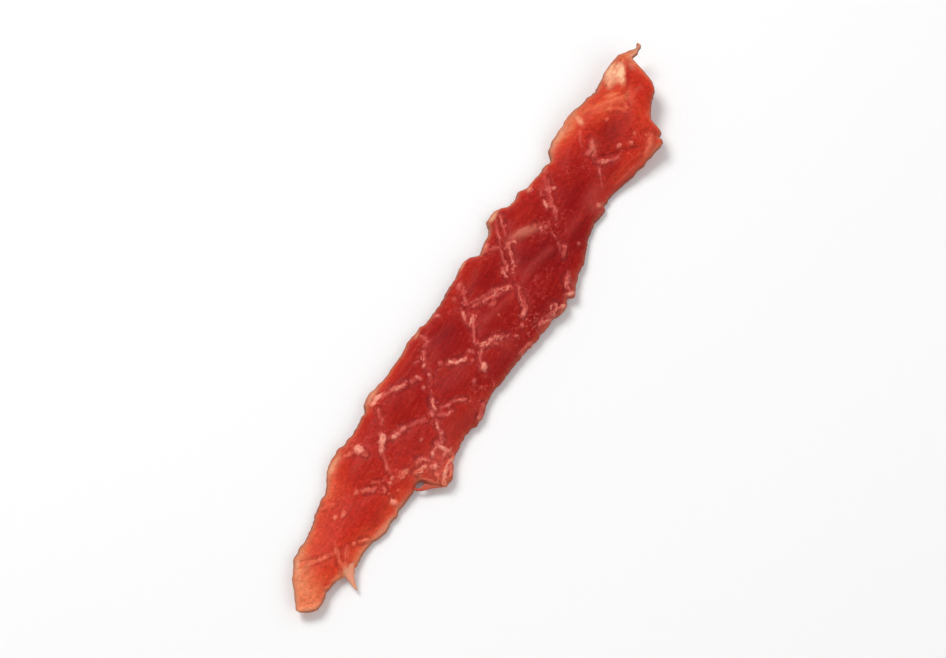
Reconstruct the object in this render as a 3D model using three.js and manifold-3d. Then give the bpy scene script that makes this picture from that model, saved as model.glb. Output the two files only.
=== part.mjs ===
// A strip of air-dried duck breast, a chew treat for dogs: one flat, dark red piece of lean meat.
// It is 138 mm long and up to 23 mm wide, about 4 mm thick in the middle and wedge-thin at its ragged rims.
// The upper face carries the diamond imprint of the wire rack that it was dried on.
// Millimetres, +Z up. X runs from the blunt foot (-X) to the hooked tip (+X), Y across the strip.
// The origin is the middle of the strip's bounding box, at the table that it lies on.
import * as THREE from "three";
import { mergeVertices } from "three/addons/utils/BufferGeometryUtils.js";
import Module from "manifold-3d";

// Outline in plan: each rim as [x, y] where its course changes, foot to tip.
const leftRim = [
  [-69.8, 3.8], [-69.0, 4.2], [-67.9, 4.8], [-64.0, 7.8], [-60.2, 9.2], [-53.5, 9.5], [-51.3, 10.3],
  [-45.8, 10.9], [-41.2, 13.0], [-39.4, 13.0], [-34.6, 12.0], [-29.0, 11.8], [-27.3, 12.6],
  [-25.2, 13.2], [-19.3, 12.0], [-7.8, 11.2], [-3.6, 10.3], [5.0, 10.2], [8.0, 10.6], [10.3, 10.0],
  [12.3, 8.5], [17.4, 9.0], [19.6, 10.4], [21.6, 10.3], [23.4, 9.8], [24.6, 8.5], [26.2, 7.9],
  [28.0, 8.3], [30.5, 6.6], [35.3, 6.0], [37.0, 5.4], [39.8, 7.2], [48.6, 6.5], [51.4, 5.7],
  [53.6, 4.8], [55.5, 4.4], [60.5, 4.3], [64.4, 3.8], [65.8, 2.6], [67.0, 1.7], [68.0, 1.3], [68.9, 1.6],
];
const rightRim = [
  [-69.8, 2.7], [-69.1, 1.6], [-67.2, -0.2], [-66.5, -0.2], [-62.4, 0.3], [-59.6, -1.0], [-58.0, -2.2],
  [-56.2, -1.9], [-51.0, -2.4], [-47.8, -3.6], [-41.3, -4.1], [-38.2, -4.6], [-37.0, -4.4],
  [-35.8, -4.7], [-35.2, -7.5], [-34.1, -9.9], [-32.0, -9.7], [-28.6, -8.2], [-21.8, -7.9],
  [-20.0, -9.1], [-14.6, -8.4], [-4.3, -9.7], [0.0, -10.4], [6.0, -11.4], [10.4, -12.5], [11.9, -11.9],
  [13.1, -12.9], [17.7, -11.6], [23.0, -10.5], [26.4, -9.4], [30.4, -9.1], [33.4, -9.5], [34.3, -8.7],
  [38.5, -9.7], [43.0, -11.2], [48.5, -12.7], [51.8, -13.6], [52.2, -12.4], [53.2, -12.3], [55.3, -8.9],
  [56.6, -8.1], [60.4, -6.8], [62.4, -5.3], [63.6, -3.4], [64.9, -0.5], [65.5, 0.6], [66.9, 0.1],
  [68.0, 0.15], [68.9, 0.85],
];
const raggedness = 0.2;
const tearPitch = 1.3;
const tearSpacing = 3.9;
const rimReach = 6;
const rimStep = 0.25;
const endRound = 0.8;
const endBluntness = 0.35;

// Thickness of the meat down its middle as [x, mm], the rounded rim that it ends in, and the width of the
// wedge between the two along each side as [x, mm].
const bodyThickness = [
  [-69.1, 1.5], [-62, 2.1], [-52, 2.9], [-40, 3.7], [-20, 4.2], [5, 4.4], [25, 4.1], [40, 3.6], [52, 3.2],
  [60, 2.5], [65, 1.4], [67, 0.8], [69.3, 0.5],
];
const rimThickness = 0.75;
const rimRound = 0.5;
const leftWedge = [
  [-69, 2.2], [-50, 3.2], [-42, 3.6], [-28, 2.0], [0, 1.8], [24, 1.8], [40, 2.8], [50, 3.4], [62, 2.4],
  [69, 0.6],
];
const rightWedge = [
  [-69, 1.8], [-50, 1.6], [-34, 1.9], [-20, 2.3], [25, 2.3], [42, 2.0], [56, 1.5], [63, 1.5], [69, 0.6],
];
const wedgeFullness = 1.4;

// Where the meat is pared thin: centre, reach along X and Y, and the share taken away.
const thinPlaces = [
  { x: 59.5, y: 2.5, reachX: 3.5, reachY: 2.6, share: 0.45 },
  { x: 46.0, y: 5.8, reachX: 6.0, reachY: 1.8, share: 0.45 },
  { x: -12.0, y: 10.6, reachX: 8.0, reachY: 1.4, share: 0.4 },
  { x: -24.5, y: 12.2, reachX: 3.5, reachY: 1.6, share: 0.5 },
  { x: -42.0, y: 11.8, reachX: 5.5, reachY: 1.8, share: 0.45 },
  { x: -49.0, y: -2.4, reachX: 7.0, reachY: 1.6, share: 0.4 },
  { x: 49.0, y: -1.5, reachX: 4.2, reachY: 3.0, share: 0.28 },
];

// How the underside leaves the table, in mm: at the foot, the tip, its hook and the arch between, and where
// a rim curls up. What would lift less than pressedFlat lies flat.
const footLift = { from: -48, to: -72, height: 1.4 };
const tipLift = { from: 37, to: 67, height: 4.0 };
const hookLift = { from: 63, to: 71, height: 1.2 };
const archLift = { x: -7, reach: 15, height: 0.7 };
const rimCurls = [
  { side: 1, x: 44, reach: 12, height: 1.2 },
  { side: 1, x: -34, reach: 14, height: 0.9 },
  { side: 1, x: 12, reach: 8, height: 0.6 },
  { side: -1, x: -32, reach: 7, height: 0.9 },
  { side: -1, x: 12, reach: 10, height: 0.9 },
  { side: -1, x: 50, reach: 8, height: 0.8 },
];
const curlWidth = 4;
const underRimRise = 0.75;
const underRimWidth = 1.5;
const pressedFlat = 0.12;

// Rack imprint: two families of wires that cross the strip's axis, and the welts that they left.
// Each wire is given by the x where it crosses y = 0.
const wireFamilies = [
  { angle: 40, crossings: [42.9, 28.8, 11.4, -4.3, -21.8, -38.4, -58.0] },
  { angle: -38, crossings: [36.0, 22.2, 6.3, -11.2, -24.3, -39.3, -54.8] },
];
const imprintStrength = [[-69, 0.25], [-50, 0.4], [-38, 1], [30, 1], [46, 0.8], [56, 0.2], [66, 0.1]];
const weltHeight = 0.55;
const weltWidth = 0.65;
const weltBreak = 2.4;
const weltCover = 0.62;
const weltUnevenness = 0.9;
const wireWander = 0.45;
const wireWanderPitch = 7;
const cellBulge = 0.3;
const cellShoulder = 2.2;

// Broad swellings of the top, and the fine lengthwise grain of the muscle.
const swellHeight = 0.35;
const swellPitch = 11;
const grainHeight = 0.12;
const grainLength = 9;
const grainPitch = 1.9;

// The mesh: stations along the strip, and segments round each cross-section.
const stations = 122;
const stationSamples = 600;
const stationCrowding = 0.5;
const endInset = 0.12;
const topSegments = 28;
const underSegments = 13;
const rimCrowding = 0.45;

// Wisps, the torn webs of meat at the lower rim: course, half width at each of its points, and thickness.
// The first hangs free by the foot, and the second bridges a small bay and leaves a hole beside it.
const wisps = [
  {
    course: [[-56.0, 0.6, 1.7], [-57.3, -0.6, 1.75], [-58.4, -1.6, 1.65], [-59.3, -2.6, 1.45],
      [-60.0, -3.5, 1.25], [-60.4, -4.5, 1.1]],
    halfWidths: [1.3, 1.3, 1.0, 0.62, 0.36, 0.15],
    thickness: 0.5,
  },
  {
    course: [[-37.45, -3.5, 1.6], [-37.5, -4.6, 1.55], [-37.1, -5.5, 1.5], [-36.1, -6.1, 1.6],
      [-35.0, -7.2, 1.75], [-34.3, -8.7, 1.85]],
    halfWidths: [0.4, 0.24, 0.35, 0.7, 0.85, 0.6],
    thickness: 0.5,
  },
];
const wispSides = 10;
const wispSteps = 12;

const seeds = {
  leftTears: 11,
  rightTears: 12,
  risingWires: 21,
  fallingWires: 22,
  welts: 23,
  swell: 31,
  grain: 32,
};
const meatColour = 0x9e2624;
const degree = Math.PI / 180;

// A repeatable number from 0 to 1 for a lattice point.
function latticeValue(i, j, seed) {
  let mixed = Math.imul(i, 374761393) + Math.imul(j, 668265263) + Math.imul(seed, 974634777);
  mixed = Math.imul(mixed ^ (mixed >>> 13), 1274126177);
  return ((mixed ^ (mixed >>> 16)) >>> 0) / 4294967296;
}

// Smooth noise from -1 to 1: lattice values blended across each cell.
function noise(x, y, seed) {
  const i = Math.floor(x);
  const j = Math.floor(y);
  const fade = (t) => t * t * t * (t * (t * 6 - 15) + 10);
  const u = fade(x - i);
  const v = fade(y - j);
  const low = THREE.MathUtils.lerp(latticeValue(i, j, seed), latticeValue(i + 1, j, seed), u);
  const high = THREE.MathUtils.lerp(latticeValue(i, j + 1, seed), latticeValue(i + 1, j + 1, seed), u);
  return 2 * THREE.MathUtils.lerp(low, high, v) - 1;
}

// Slopes of a curve through points that never overshoots them: zero at a turn, else the harmonic mean.
function curveSlopes(points) {
  const chords = points.slice(1).map(([x, y], i) => (y - points[i][1]) / (x - points[i][0]));
  return points.map((_, i) => {
    const before = chords[Math.max(i - 1, 0)];
    const after = chords[Math.min(i, chords.length - 1)];
    return before * after <= 0 ? 0 : (2 * before * after) / (before + after);
  });
}

// The function through points, by cubic pieces between them and level beyond the ends.
function curveThrough(points) {
  const slopes = curveSlopes(points);
  return (x) => {
    if (x <= points[0][0]) return points[0][1];
    const next = points.findIndex(([px]) => px >= x);
    if (next < 0) return points[points.length - 1][1];
    const [x0, y0] = points[next - 1];
    const [x1, y1] = points[next];
    const span = x1 - x0;
    const t = (x - x0) / span;
    const values = (2 * t ** 3 - 3 * t ** 2 + 1) * y0 + (3 * t ** 2 - 2 * t ** 3) * y1;
    const turns = (t ** 3 - 2 * t ** 2 + t) * slopes[next - 1] + (t ** 3 - t ** 2) * slopes[next];
    return values + span * turns;
  };
}

const leftCurve = curveThrough(leftRim);
const rightCurve = curveThrough(rightRim);
const thicknessAt = curveThrough(bodyThickness);
const leftWedgeAt = curveThrough(leftWedge);
const rightWedgeAt = curveThrough(rightWedge);
const imprintAt = curveThrough(imprintStrength);
const footX = leftRim[0][0];
const tipX = leftRim[leftRim.length - 1][0];

// A hump from 0 to 1 round a place, and the share from 0 to 1 of the way between two values of x.
const hump = (distance, reach) => Math.exp(-((distance / reach) ** 2));
const along = (x, { from, to }) => THREE.MathUtils.smoothstep((x - from) / (to - from), 0, 1);

// The rims as y over x, with torn edges.
const tearsAt = (x, seed) => raggedness * (noise(x / tearPitch, 0, seed) + noise(x / tearSpacing, 5, seed));
const leftAt = (x) => leftCurve(x) + tearsAt(x, seeds.leftTears);
const rightAt = (x) => rightCurve(x) + tearsAt(x, seeds.rightTears);

// Distance in from a rim: the least reach to it over the places near x.
function distanceFrom(rimAt, x, y) {
  let least = rimReach;
  for (let shift = -rimReach; shift <= rimReach; shift += rimStep) {
    least = Math.min(least, Math.hypot(shift, rimAt(x + shift) - y));
  }
  return least;
}

// The middle and half width of the strip at x, with both ends rounded in plan.
function spanAt(x) {
  const fromEnd = Math.min(x - footX, tipX - x, endRound);
  const rounding = Math.sqrt(Math.max(1 - ((endRound - fromEnd) / endRound) ** 2, 0));
  const half = ((leftAt(x) - rightAt(x)) / 2) * THREE.MathUtils.lerp(endBluntness, 1, rounding);
  return { middle: (leftAt(x) + rightAt(x)) / 2, half };
}

// Relief that the drying rack left: broken welts along its wires, and cells that bulge between them.
function imprint(x, y) {
  let welt = 0;
  let bulge = 1;
  for (const { angle, crossings } of wireFamilies) {
    const seed = angle > 0 ? seeds.risingWires : seeds.fallingWires;
    const wander = wireWander * noise(x / wireWanderPitch, y / wireWanderPitch, seed);
    const sine = Math.sin(Math.abs(angle) * degree);
    const cosine = Math.cos(angle * degree) * Math.sign(angle);
    const offsets = crossings.map((crossing) => (x - crossing) * sine - y * cosine + wander);
    const offset = offsets.reduce((near, other) => (Math.abs(other) < Math.abs(near) ? other : near));
    const patchy = weltCover + weltUnevenness * noise(x / weltBreak, y / weltBreak, seed + seeds.welts);
    welt = Math.max(welt, THREE.MathUtils.clamp(patchy, 0, 1) * hump(offset, weltWidth));
    bulge *= 1 - hump(offset, cellShoulder);
  }
  return imprintAt(x) * (weltHeight * welt + cellBulge * bulge);
}

// Thickness of the meat at x, a distance in from each rim, and at y across: a rounded rim, and a body that
// grows over a wedge at each side.
function meatThickness(x, y, fromLeft, fromRight) {
  const inward = Math.min(fromLeft, fromRight, rimRound);
  const rim = rimThickness * Math.sqrt(Math.max(1 - (1 - inward / rimRound) ** 2, 0));
  const wedge = (distance, width) => 1 - Math.exp(-((distance / width) ** wedgeFullness));
  const full = wedge(fromLeft, leftWedgeAt(x)) * wedge(fromRight, rightWedgeAt(x));
  const pared = thinPlaces.reduce((kept, place) => {
    return kept * (1 - place.share * hump(x - place.x, place.reachX) * hump(y - place.y, place.reachY));
  }, 1);
  const swell = swellHeight * noise(x / swellPitch, y / swellPitch, seeds.swell);
  const grain = grainHeight * noise(x / grainLength, y / grainPitch, seeds.grain);
  const body = Math.max(thicknessAt(x) * pared - rimThickness, 0) + swell + grain + imprint(x, y);
  return rim * Math.min(thicknessAt(x) / rimThickness, 1) + full * Math.max(body, 0);
}

// Height of the underside at x and a distance in from each rim: the lifts and curls, less what lies flat.
function undersideHeight(x, fromLeft, fromRight) {
  const lifts = footLift.height * along(x, footLift)
    + tipLift.height * along(x, tipLift)
    + hookLift.height * along(x, hookLift)
    + archLift.height * hump(x - archLift.x, archLift.reach);
  const curls = rimCurls.reduce((sum, curl) => {
    const inward = curl.side > 0 ? fromLeft : fromRight;
    return sum + curl.height * hump(x - curl.x, curl.reach) * hump(inward, curlWidth);
  }, 0);
  const rimRise = underRimRise * hump(Math.min(fromLeft, fromRight), underRimWidth);
  return Math.max(lifts + curls + rimRise - pressedFlat, 0);
}

// Places of the stations along X, crowded where the outline changes width quickly.
function stationPlaces() {
  const xs = Array.from({ length: stationSamples + 1 }, (_, i) => {
    return THREE.MathUtils.lerp(footX + endInset, tipX - endInset, i / stationSamples);
  });
  const travelled = [0];
  for (let i = 1; i <= stationSamples; i += 1) {
    const change = (rimAt) => Math.abs(rimAt(xs[i]) - rimAt(xs[i - 1]));
    const step = xs[i] - xs[i - 1] + stationCrowding * (change(leftAt) + change(rightAt));
    travelled.push(travelled[i - 1] + step);
  }
  return Array.from({ length: stations }, (_, k) => {
    const goal = travelled[stationSamples] * (k / (stations - 1));
    const next = Math.max(travelled.findIndex((t) => t >= goal), 1);
    const share = (goal - travelled[next - 1]) / (travelled[next] - travelled[next - 1]);
    return THREE.MathUtils.lerp(xs[next - 1], xs[next], share);
  });
}

// Share of the half width from -1 to 1, with its steps drawn together at the rims.
function acrossShare(t) {
  const even = 2 * t - 1;
  return THREE.MathUtils.lerp(even, Math.sin((even * Math.PI) / 2), rimCrowding);
}

// One cross-section as a closed ring of points: over the top from right to left, and back underneath.
function crossSection(x) {
  const { middle, half } = spanAt(x);
  const pointAt = (v, onTop) => {
    const y = middle + half * v;
    const fromLeft = distanceFrom(leftAt, x, y);
    const fromRight = distanceFrom(rightAt, x, y);
    const under = undersideHeight(x, fromLeft, fromRight);
    return [x, y, onTop ? under + meatThickness(x, y, fromLeft, fromRight) : under];
  };
  const ring = [];
  for (let j = 0; j < topSegments; j += 1) ring.push(pointAt(acrossShare(j / topSegments), true));
  for (let j = 0; j < underSegments; j += 1) ring.push(pointAt(acrossShare(1 - j / underSegments), false));
  return ring;
}

// A closed surface through a row of rings, with a fan of triangles to the middle of each end ring.
function loftRings(rings) {
  const around = rings[0].length;
  const meanOf = (ring, axis) => ring.reduce((sum, point) => sum + point[axis], 0) / around;
  const centre = (ring) => [meanOf(ring, 0), meanOf(ring, 1), meanOf(ring, 2)];
  const points = [...rings.flat(), centre(rings[0]), centre(rings[rings.length - 1])];
  const first = rings.length * around;
  const faces = [];
  for (let j = 0; j < around; j += 1) {
    const next = (j + 1) % around;
    faces.push(first, j, next);
    const last = (rings.length - 1) * around;
    faces.push(first + 1, last + next, last + j);
    for (let i = 0; i < rings.length - 1; i += 1) {
      const here = i * around;
      const there = here + around;
      faces.push(here + j, there + j, here + next, here + next, there + j, there + next);
    }
  }
  const geometry = new THREE.BufferGeometry();
  geometry.setAttribute("position", new THREE.Float32BufferAttribute(points.flat(), 3));
  geometry.setIndex(faces);
  return geometry;
}

// A torn web: flat oval rings along a smooth course, as wide as its points say.
function wispGeometry({ course, halfWidths, thickness }) {
  const curve = new THREE.CatmullRomCurve3(course.map((point) => new THREE.Vector3(...point)));
  const halfWidthAt = curveThrough(halfWidths.map((half, i) => [i / (halfWidths.length - 1), half]));
  const up = new THREE.Vector3(0, 0, 1);
  const rings = [];
  for (let i = 0; i <= wispSteps; i += 1) {
    const centre = curve.getPoint(i / wispSteps);
    const tangent = curve.getTangent(i / wispSteps);
    const side = new THREE.Vector3().crossVectors(tangent, up).normalize();
    const over = new THREE.Vector3().crossVectors(side, tangent).normalize();
    const halfWidth = halfWidthAt(i / wispSteps);
    const halfThickness = Math.min(thickness / 2, halfWidth);
    const ring = [];
    for (let j = 0; j < wispSides; j += 1) {
      const turn = (2 * Math.PI * j) / wispSides;
      const point = centre.clone()
        .addScaledVector(side, halfWidth * Math.cos(turn))
        .addScaledVector(over, halfThickness * Math.sin(turn));
      ring.push(point.toArray());
    }
    rings.push(ring);
  }
  return loftRings(rings);
}

const wasm = await Module();
wasm.setup();

// A manifold-3d solid from a closed geometry, and a geometry back from a solid.
function toSolid(geometry) {
  const merged = mergeVertices(geometry);
  return new wasm.Manifold(new wasm.Mesh({
    numProp: 3,
    vertProperties: new Float32Array(merged.getAttribute("position").array),
    triVerts: new Uint32Array(merged.index.array),
  }));
}

function toGeometry(solid) {
  const mesh = solid.getMesh();
  const geometry = new THREE.BufferGeometry();
  geometry.setAttribute("position", new THREE.Float32BufferAttribute(mesh.vertProperties, 3));
  geometry.setIndex(Array.from(mesh.triVerts));
  geometry.computeVertexNormals();
  return geometry;
}

// The meat in one piece: the lofted body with its wisps joined on, centred over the origin.
function duckStrip() {
  const body = toSolid(loftRings(stationPlaces().map(crossSection)));
  const joined = wisps.reduce((solid, wisp) => solid.add(toSolid(wispGeometry(wisp))), body);
  const geometry = toGeometry(joined);
  geometry.computeBoundingBox();
  const { min, max } = geometry.boundingBox;
  geometry.translate(-(min.x + max.x) / 2, -(min.y + max.y) / 2, -min.z);
  const material = new THREE.MeshStandardMaterial({ color: meatColour, roughness: 0.55, metalness: 0 });
  const mesh = new THREE.Mesh(geometry, material);
  mesh.name = "duck_strip";
  return mesh;
}

const treat = new THREE.Group();
treat.add(duckStrip());

export default treat;
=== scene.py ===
"""One strip of air-dried duck breast, a chew treat for dogs, on a pale studio floor.

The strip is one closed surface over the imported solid's own outline, thickness and lift, with the finer relief
that the solid leaves out: the lips, beads and folds that the rack's wires pulled up, frayed rims and grain.
Shapes are worked out in millimetres in the outline's own frame, and the meshes are made in metres.
"""
import logging
import math
from dataclasses import dataclass
from enum import Enum, IntEnum
from typing import Any, ClassVar, Sequence

import bpy
import numpy as np
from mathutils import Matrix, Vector


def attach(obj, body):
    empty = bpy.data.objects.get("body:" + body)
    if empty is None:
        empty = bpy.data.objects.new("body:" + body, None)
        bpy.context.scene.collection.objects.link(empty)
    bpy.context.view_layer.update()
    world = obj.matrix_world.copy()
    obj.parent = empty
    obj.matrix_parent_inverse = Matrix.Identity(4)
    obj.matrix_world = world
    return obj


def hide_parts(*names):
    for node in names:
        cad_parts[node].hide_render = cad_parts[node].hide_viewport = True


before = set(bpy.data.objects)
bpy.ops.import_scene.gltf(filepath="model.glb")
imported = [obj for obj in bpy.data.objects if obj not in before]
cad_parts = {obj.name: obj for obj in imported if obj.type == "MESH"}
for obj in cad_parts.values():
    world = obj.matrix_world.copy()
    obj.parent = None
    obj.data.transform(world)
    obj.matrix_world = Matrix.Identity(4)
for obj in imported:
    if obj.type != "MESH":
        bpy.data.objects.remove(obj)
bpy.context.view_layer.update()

log = logging.getLogger("duck_strip")

Array = np.ndarray
Pair = tuple[float, float]
Pairs = tuple[Pair, ...]
Colour = tuple[int, int, int]

MILLIMETRE = 0.001
OUTLINE_TO_FRAME = (0.45, 0.08, 0.0)  # mm, from the outline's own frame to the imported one
RIM_LIMITS = (-13.39, 13.19)  # mm, how far the frayed rims may reach in the outline's frame
VIEW_AZIMUTH = -61.5  # degrees round the strip
VIEW_ELEVATION = 68.0  # degrees over the floor


class Seed(IntEnum):
    """Where each noise starts, so that every run gives the same strip."""

    LEFT_RIM = 11
    RIGHT_RIM = 12
    RISING_WIRES = 21
    FALLING_WIRES = 22
    SWELL = 31
    GRAIN = 32
    STRANDS = 33
    CRUMBS = 34
    HOLLOWS = 35
    UNEVEN = 36
    CRUST = 37
    CREAM = 38
    DRYNESS = 39
    STREAKS = 41
    WISPS = 71
    MARKS = 200


def hump(distance: Array | float, reach: float) -> Array | float:
    """Returns a bell from 1 at distance 0 towards 0: exp of minus (distance / reach) squared."""
    return np.exp(-((distance / reach) ** 2))


def ease(value: Array, low: float, high: float) -> Array:
    """Returns 0 below low and 1 above high, with 3t^2 - 2t^3 between, t being the share of the way."""
    t = unit((value - low) / (high - low))
    return t * t * (3.0 - 2.0 * t)


def unit(value: Array) -> Array:
    """Returns the value held between 0 and 1."""
    return np.clip(value, 0.0, 1.0)


def varied(noise: Any, level: float, swing: float) -> Any:
    """Returns the level plus the swing times a noise, which is an array or a shader term."""
    return level + swing * noise


def turned(x: Array, y: Array, centre: Pair, degrees: float) -> tuple[Array, Array]:
    """Turns axes about a centre: u = across cos a + up sin a, and v = up cos a - across sin a.

    Args:
        x: Places along the strip.
        y: Places across the strip.
        centre: Where the axes cross.
        degrees: How far they are turned.

    Returns:
        The places along both turned axes.
    """
    angle = math.radians(degrees)
    across, up = x - centre[0], y - centre[1]
    u = across * math.cos(angle) + up * math.sin(angle)
    return u, up * math.cos(angle) - across * math.sin(angle)


def through(knots: Array, values: Array, slopes: Array, x: Array) -> Array:
    """Joins values at knots by cubic pieces that leave and meet them at the given slopes.

    With t the share of a piece: (2t^3 - 3t^2 + 1) a + (3t^2 - 2t^3) b, and the piece's length times
    (t^3 - 2t^2 + t) times the slope at a, and (t^3 - t^2) times the slope at b.

    Args:
        knots: Rising places of the values.
        values: What the curve passes through.
        slopes: Its slope at each knot.
        x: Places at which it is wanted, between the first knot and the last.

    Returns:
        The curve's values there.
    """
    piece = np.clip(np.searchsorted(knots, x, side="left") - 1, 0, len(knots) - 2)
    span = knots[piece + 1] - knots[piece]
    t = (x - knots[piece]) / span
    levels = (2 * t**3 - 3 * t**2 + 1) * values[piece] + (3 * t**2 - 2 * t**3) * values[piece + 1]
    turns = (t**3 - 2 * t**2 + t) * slopes[piece] + (t**3 - t**2) * slopes[piece + 1]
    return levels + span * turns


def several(kind: type, *rows: tuple) -> tuple:
    """Makes one object of a kind from each row of its fields."""
    return tuple(kind(*row) for row in rows)


@dataclass(frozen=True)
class Noise:
    """Repeatable smooth noise over the plane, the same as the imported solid's."""

    seed: int

    along_factor: ClassVar[int] = 374761393
    across_factor: ClassVar[int] = 668265263
    seed_factor: ClassVar[int] = 974634777
    mixing_factor: ClassVar[int] = 1274126177
    word: ClassVar[int] = 0xFFFFFFFF
    octave_seeds: ClassVar[int] = 7

    def lattice(self, i: Array, j: Array) -> Array:
        """Gives each lattice point a number from 0 to 1 by mixing the bits of its place.

        Args:
            i: Whole-number places along the first axis.
            j: Whole-number places along the second axis.

        Returns:
            The lattice numbers.
        """
        mixed = (i * self.along_factor + j * self.across_factor + self.seed * self.seed_factor) & self.word
        mixed = ((mixed ^ (mixed >> 13)) * self.mixing_factor) & self.word
        return (mixed ^ (mixed >> 16)) / (self.word + 1.0)

    def at(self, x: Array, y: Array | float) -> Array:
        """Blends the four lattice numbers round each place by the curve 6t^5 - 15t^4 + 10t^3.

        Args:
            x: Places along the first axis, one lattice step apart at whole numbers.
            y: Places along the second axis.

        Returns:
            Values from -1 to 1.
        """
        x, y = np.broadcast_arrays(np.asarray(x, float), np.asarray(y, float))
        i, j = np.floor(x).astype(np.int64), np.floor(y).astype(np.int64)
        u, v = x - i, y - j
        u = u * u * u * (u * (u * 6.0 - 15.0) + 10.0)
        v = v * v * v * (v * (v * 6.0 - 15.0) + 10.0)
        low = self.lattice(i, j) * (1.0 - u) + self.lattice(i + 1, j) * u
        high = self.lattice(i, j + 1) * (1.0 - u) + self.lattice(i + 1, j + 1) * u
        return 2.0 * (low * (1.0 - v) + high * v) - 1.0

    def layers(self, x: Array, y: Array, pitch: float, octaves: int) -> Array:
        """Adds octaves of the noise, each of half the pitch and half the weight of the one before.

        Args:
            x: Places along the first axis in mm.
            y: Places along the second axis in mm.
            pitch: Lattice step of the first octave in mm.
            octaves: How many octaves are added.

        Returns:
            Values of about -1 to 1.
        """
        total, weight = 0.0, 0.0
        for octave in range(octaves):
            share = 0.5 ** octave
            finer = Noise(self.seed + self.octave_seeds * octave)
            total = total + share * finer.at(x / (pitch * share), y / (pitch * share))
            weight += share
        return total / weight

    def patches(self, x: Array, y: Array, pitch: float, octaves: int, level: float, swing: float) -> Array:
        """Returns the level plus the swing times the layered noise, held between 0 and 1."""
        return unit(varied(self.layers(x, y, pitch, octaves), level, swing))


@dataclass(frozen=True)
class Curve:
    """A smooth function through points that never overshoots them, level beyond its ends."""

    points: Pairs

    def at(self, x: Array) -> Array:
        """Joins the points by cubic pieces whose slope is the harmonic mean of the chords, or 0 at a turn.

        Args:
            x: Places at which the curve is wanted.

        Returns:
            The curve's values there.
        """
        px, py = np.array(self.points, float).T
        chords = np.diff(py) / np.diff(px)
        before = np.concatenate([chords[:1], chords])
        after = np.concatenate([chords, chords[-1:]])
        turning = before * after <= 0.0
        together = np.where(turning, 1.0, before + after)
        slopes = np.where(turning, 0.0, 2.0 * before * after / together)
        return through(px, py, slopes, np.clip(x, px[0], px[-1]))


@dataclass(frozen=True)
class Rim:
    """One long rim of the strip as y over x, with torn edges and a finer fray."""

    course: Curve
    seed: int
    raggedness: float = 0.2
    tear_pitch: float = 1.3
    tear_spacing: float = 3.9
    fray: float = 0.15
    fray_pitch: float = 0.62
    fray_patches: Pair = (0.65, 0.6)
    fray_spacing: float = 6.0
    reach: float = 6.0
    step: float = 0.125

    fray_seeds: ClassVar[int] = 40

    def torn(self, x: Array) -> Array:
        """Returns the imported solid's rim: its course plus two noises of one height along x."""
        noise = Noise(self.seed)
        return self.course.at(x) + self.raggedness * (
            noise.at(x / self.tear_pitch, 0.0) + noise.at(x / self.tear_spacing, 5.0)
        )

    def at(self, x: Array) -> Array:
        """Adds the fray to the torn rim, a finer noise in patches, and keeps it inside the solid's box.

        Args:
            x: Places along the strip.

        Returns:
            The rim's y there.
        """
        fine = Noise(self.seed + self.fray_seeds)
        patchy = varied(fine.at(x / self.fray_spacing, 3.0), *self.fray_patches)
        frayed = self.torn(x) + self.fray * patchy * fine.layers(x, np.zeros_like(x), self.fray_pitch, 2)
        return np.clip(frayed, *RIM_LIMITS)

    def distance(self, x: Array, y: Array) -> Array:
        """Finds how far in from the rim each place lies: the least reach to the rim over places near x.

        Args:
            x: Station places as a column.
            y: Places across each station, one row a station.

        Returns:
            Distances in mm, one for each y, up to about the reach.
        """
        shifts = np.arange(-self.reach, self.reach + self.step, self.step)
        rim = self.at(x + shifts)
        least = np.full(y.shape, self.reach)
        for shift, level in zip(shifts, rim.T):
            least = np.minimum(least, np.hypot(shift, level[:, None] - y))
        return least


class Style(Enum):
    """How a wire's mark is formed across its course."""

    LIP = "a raised lip of torn threads"
    FOLD = "a broad low fold"
    STREAK = "flat, paler tissue"
    # A crease is sunk, and its shade is painted into the colour.
    CREASE = "a sunk, shaded line"


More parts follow.
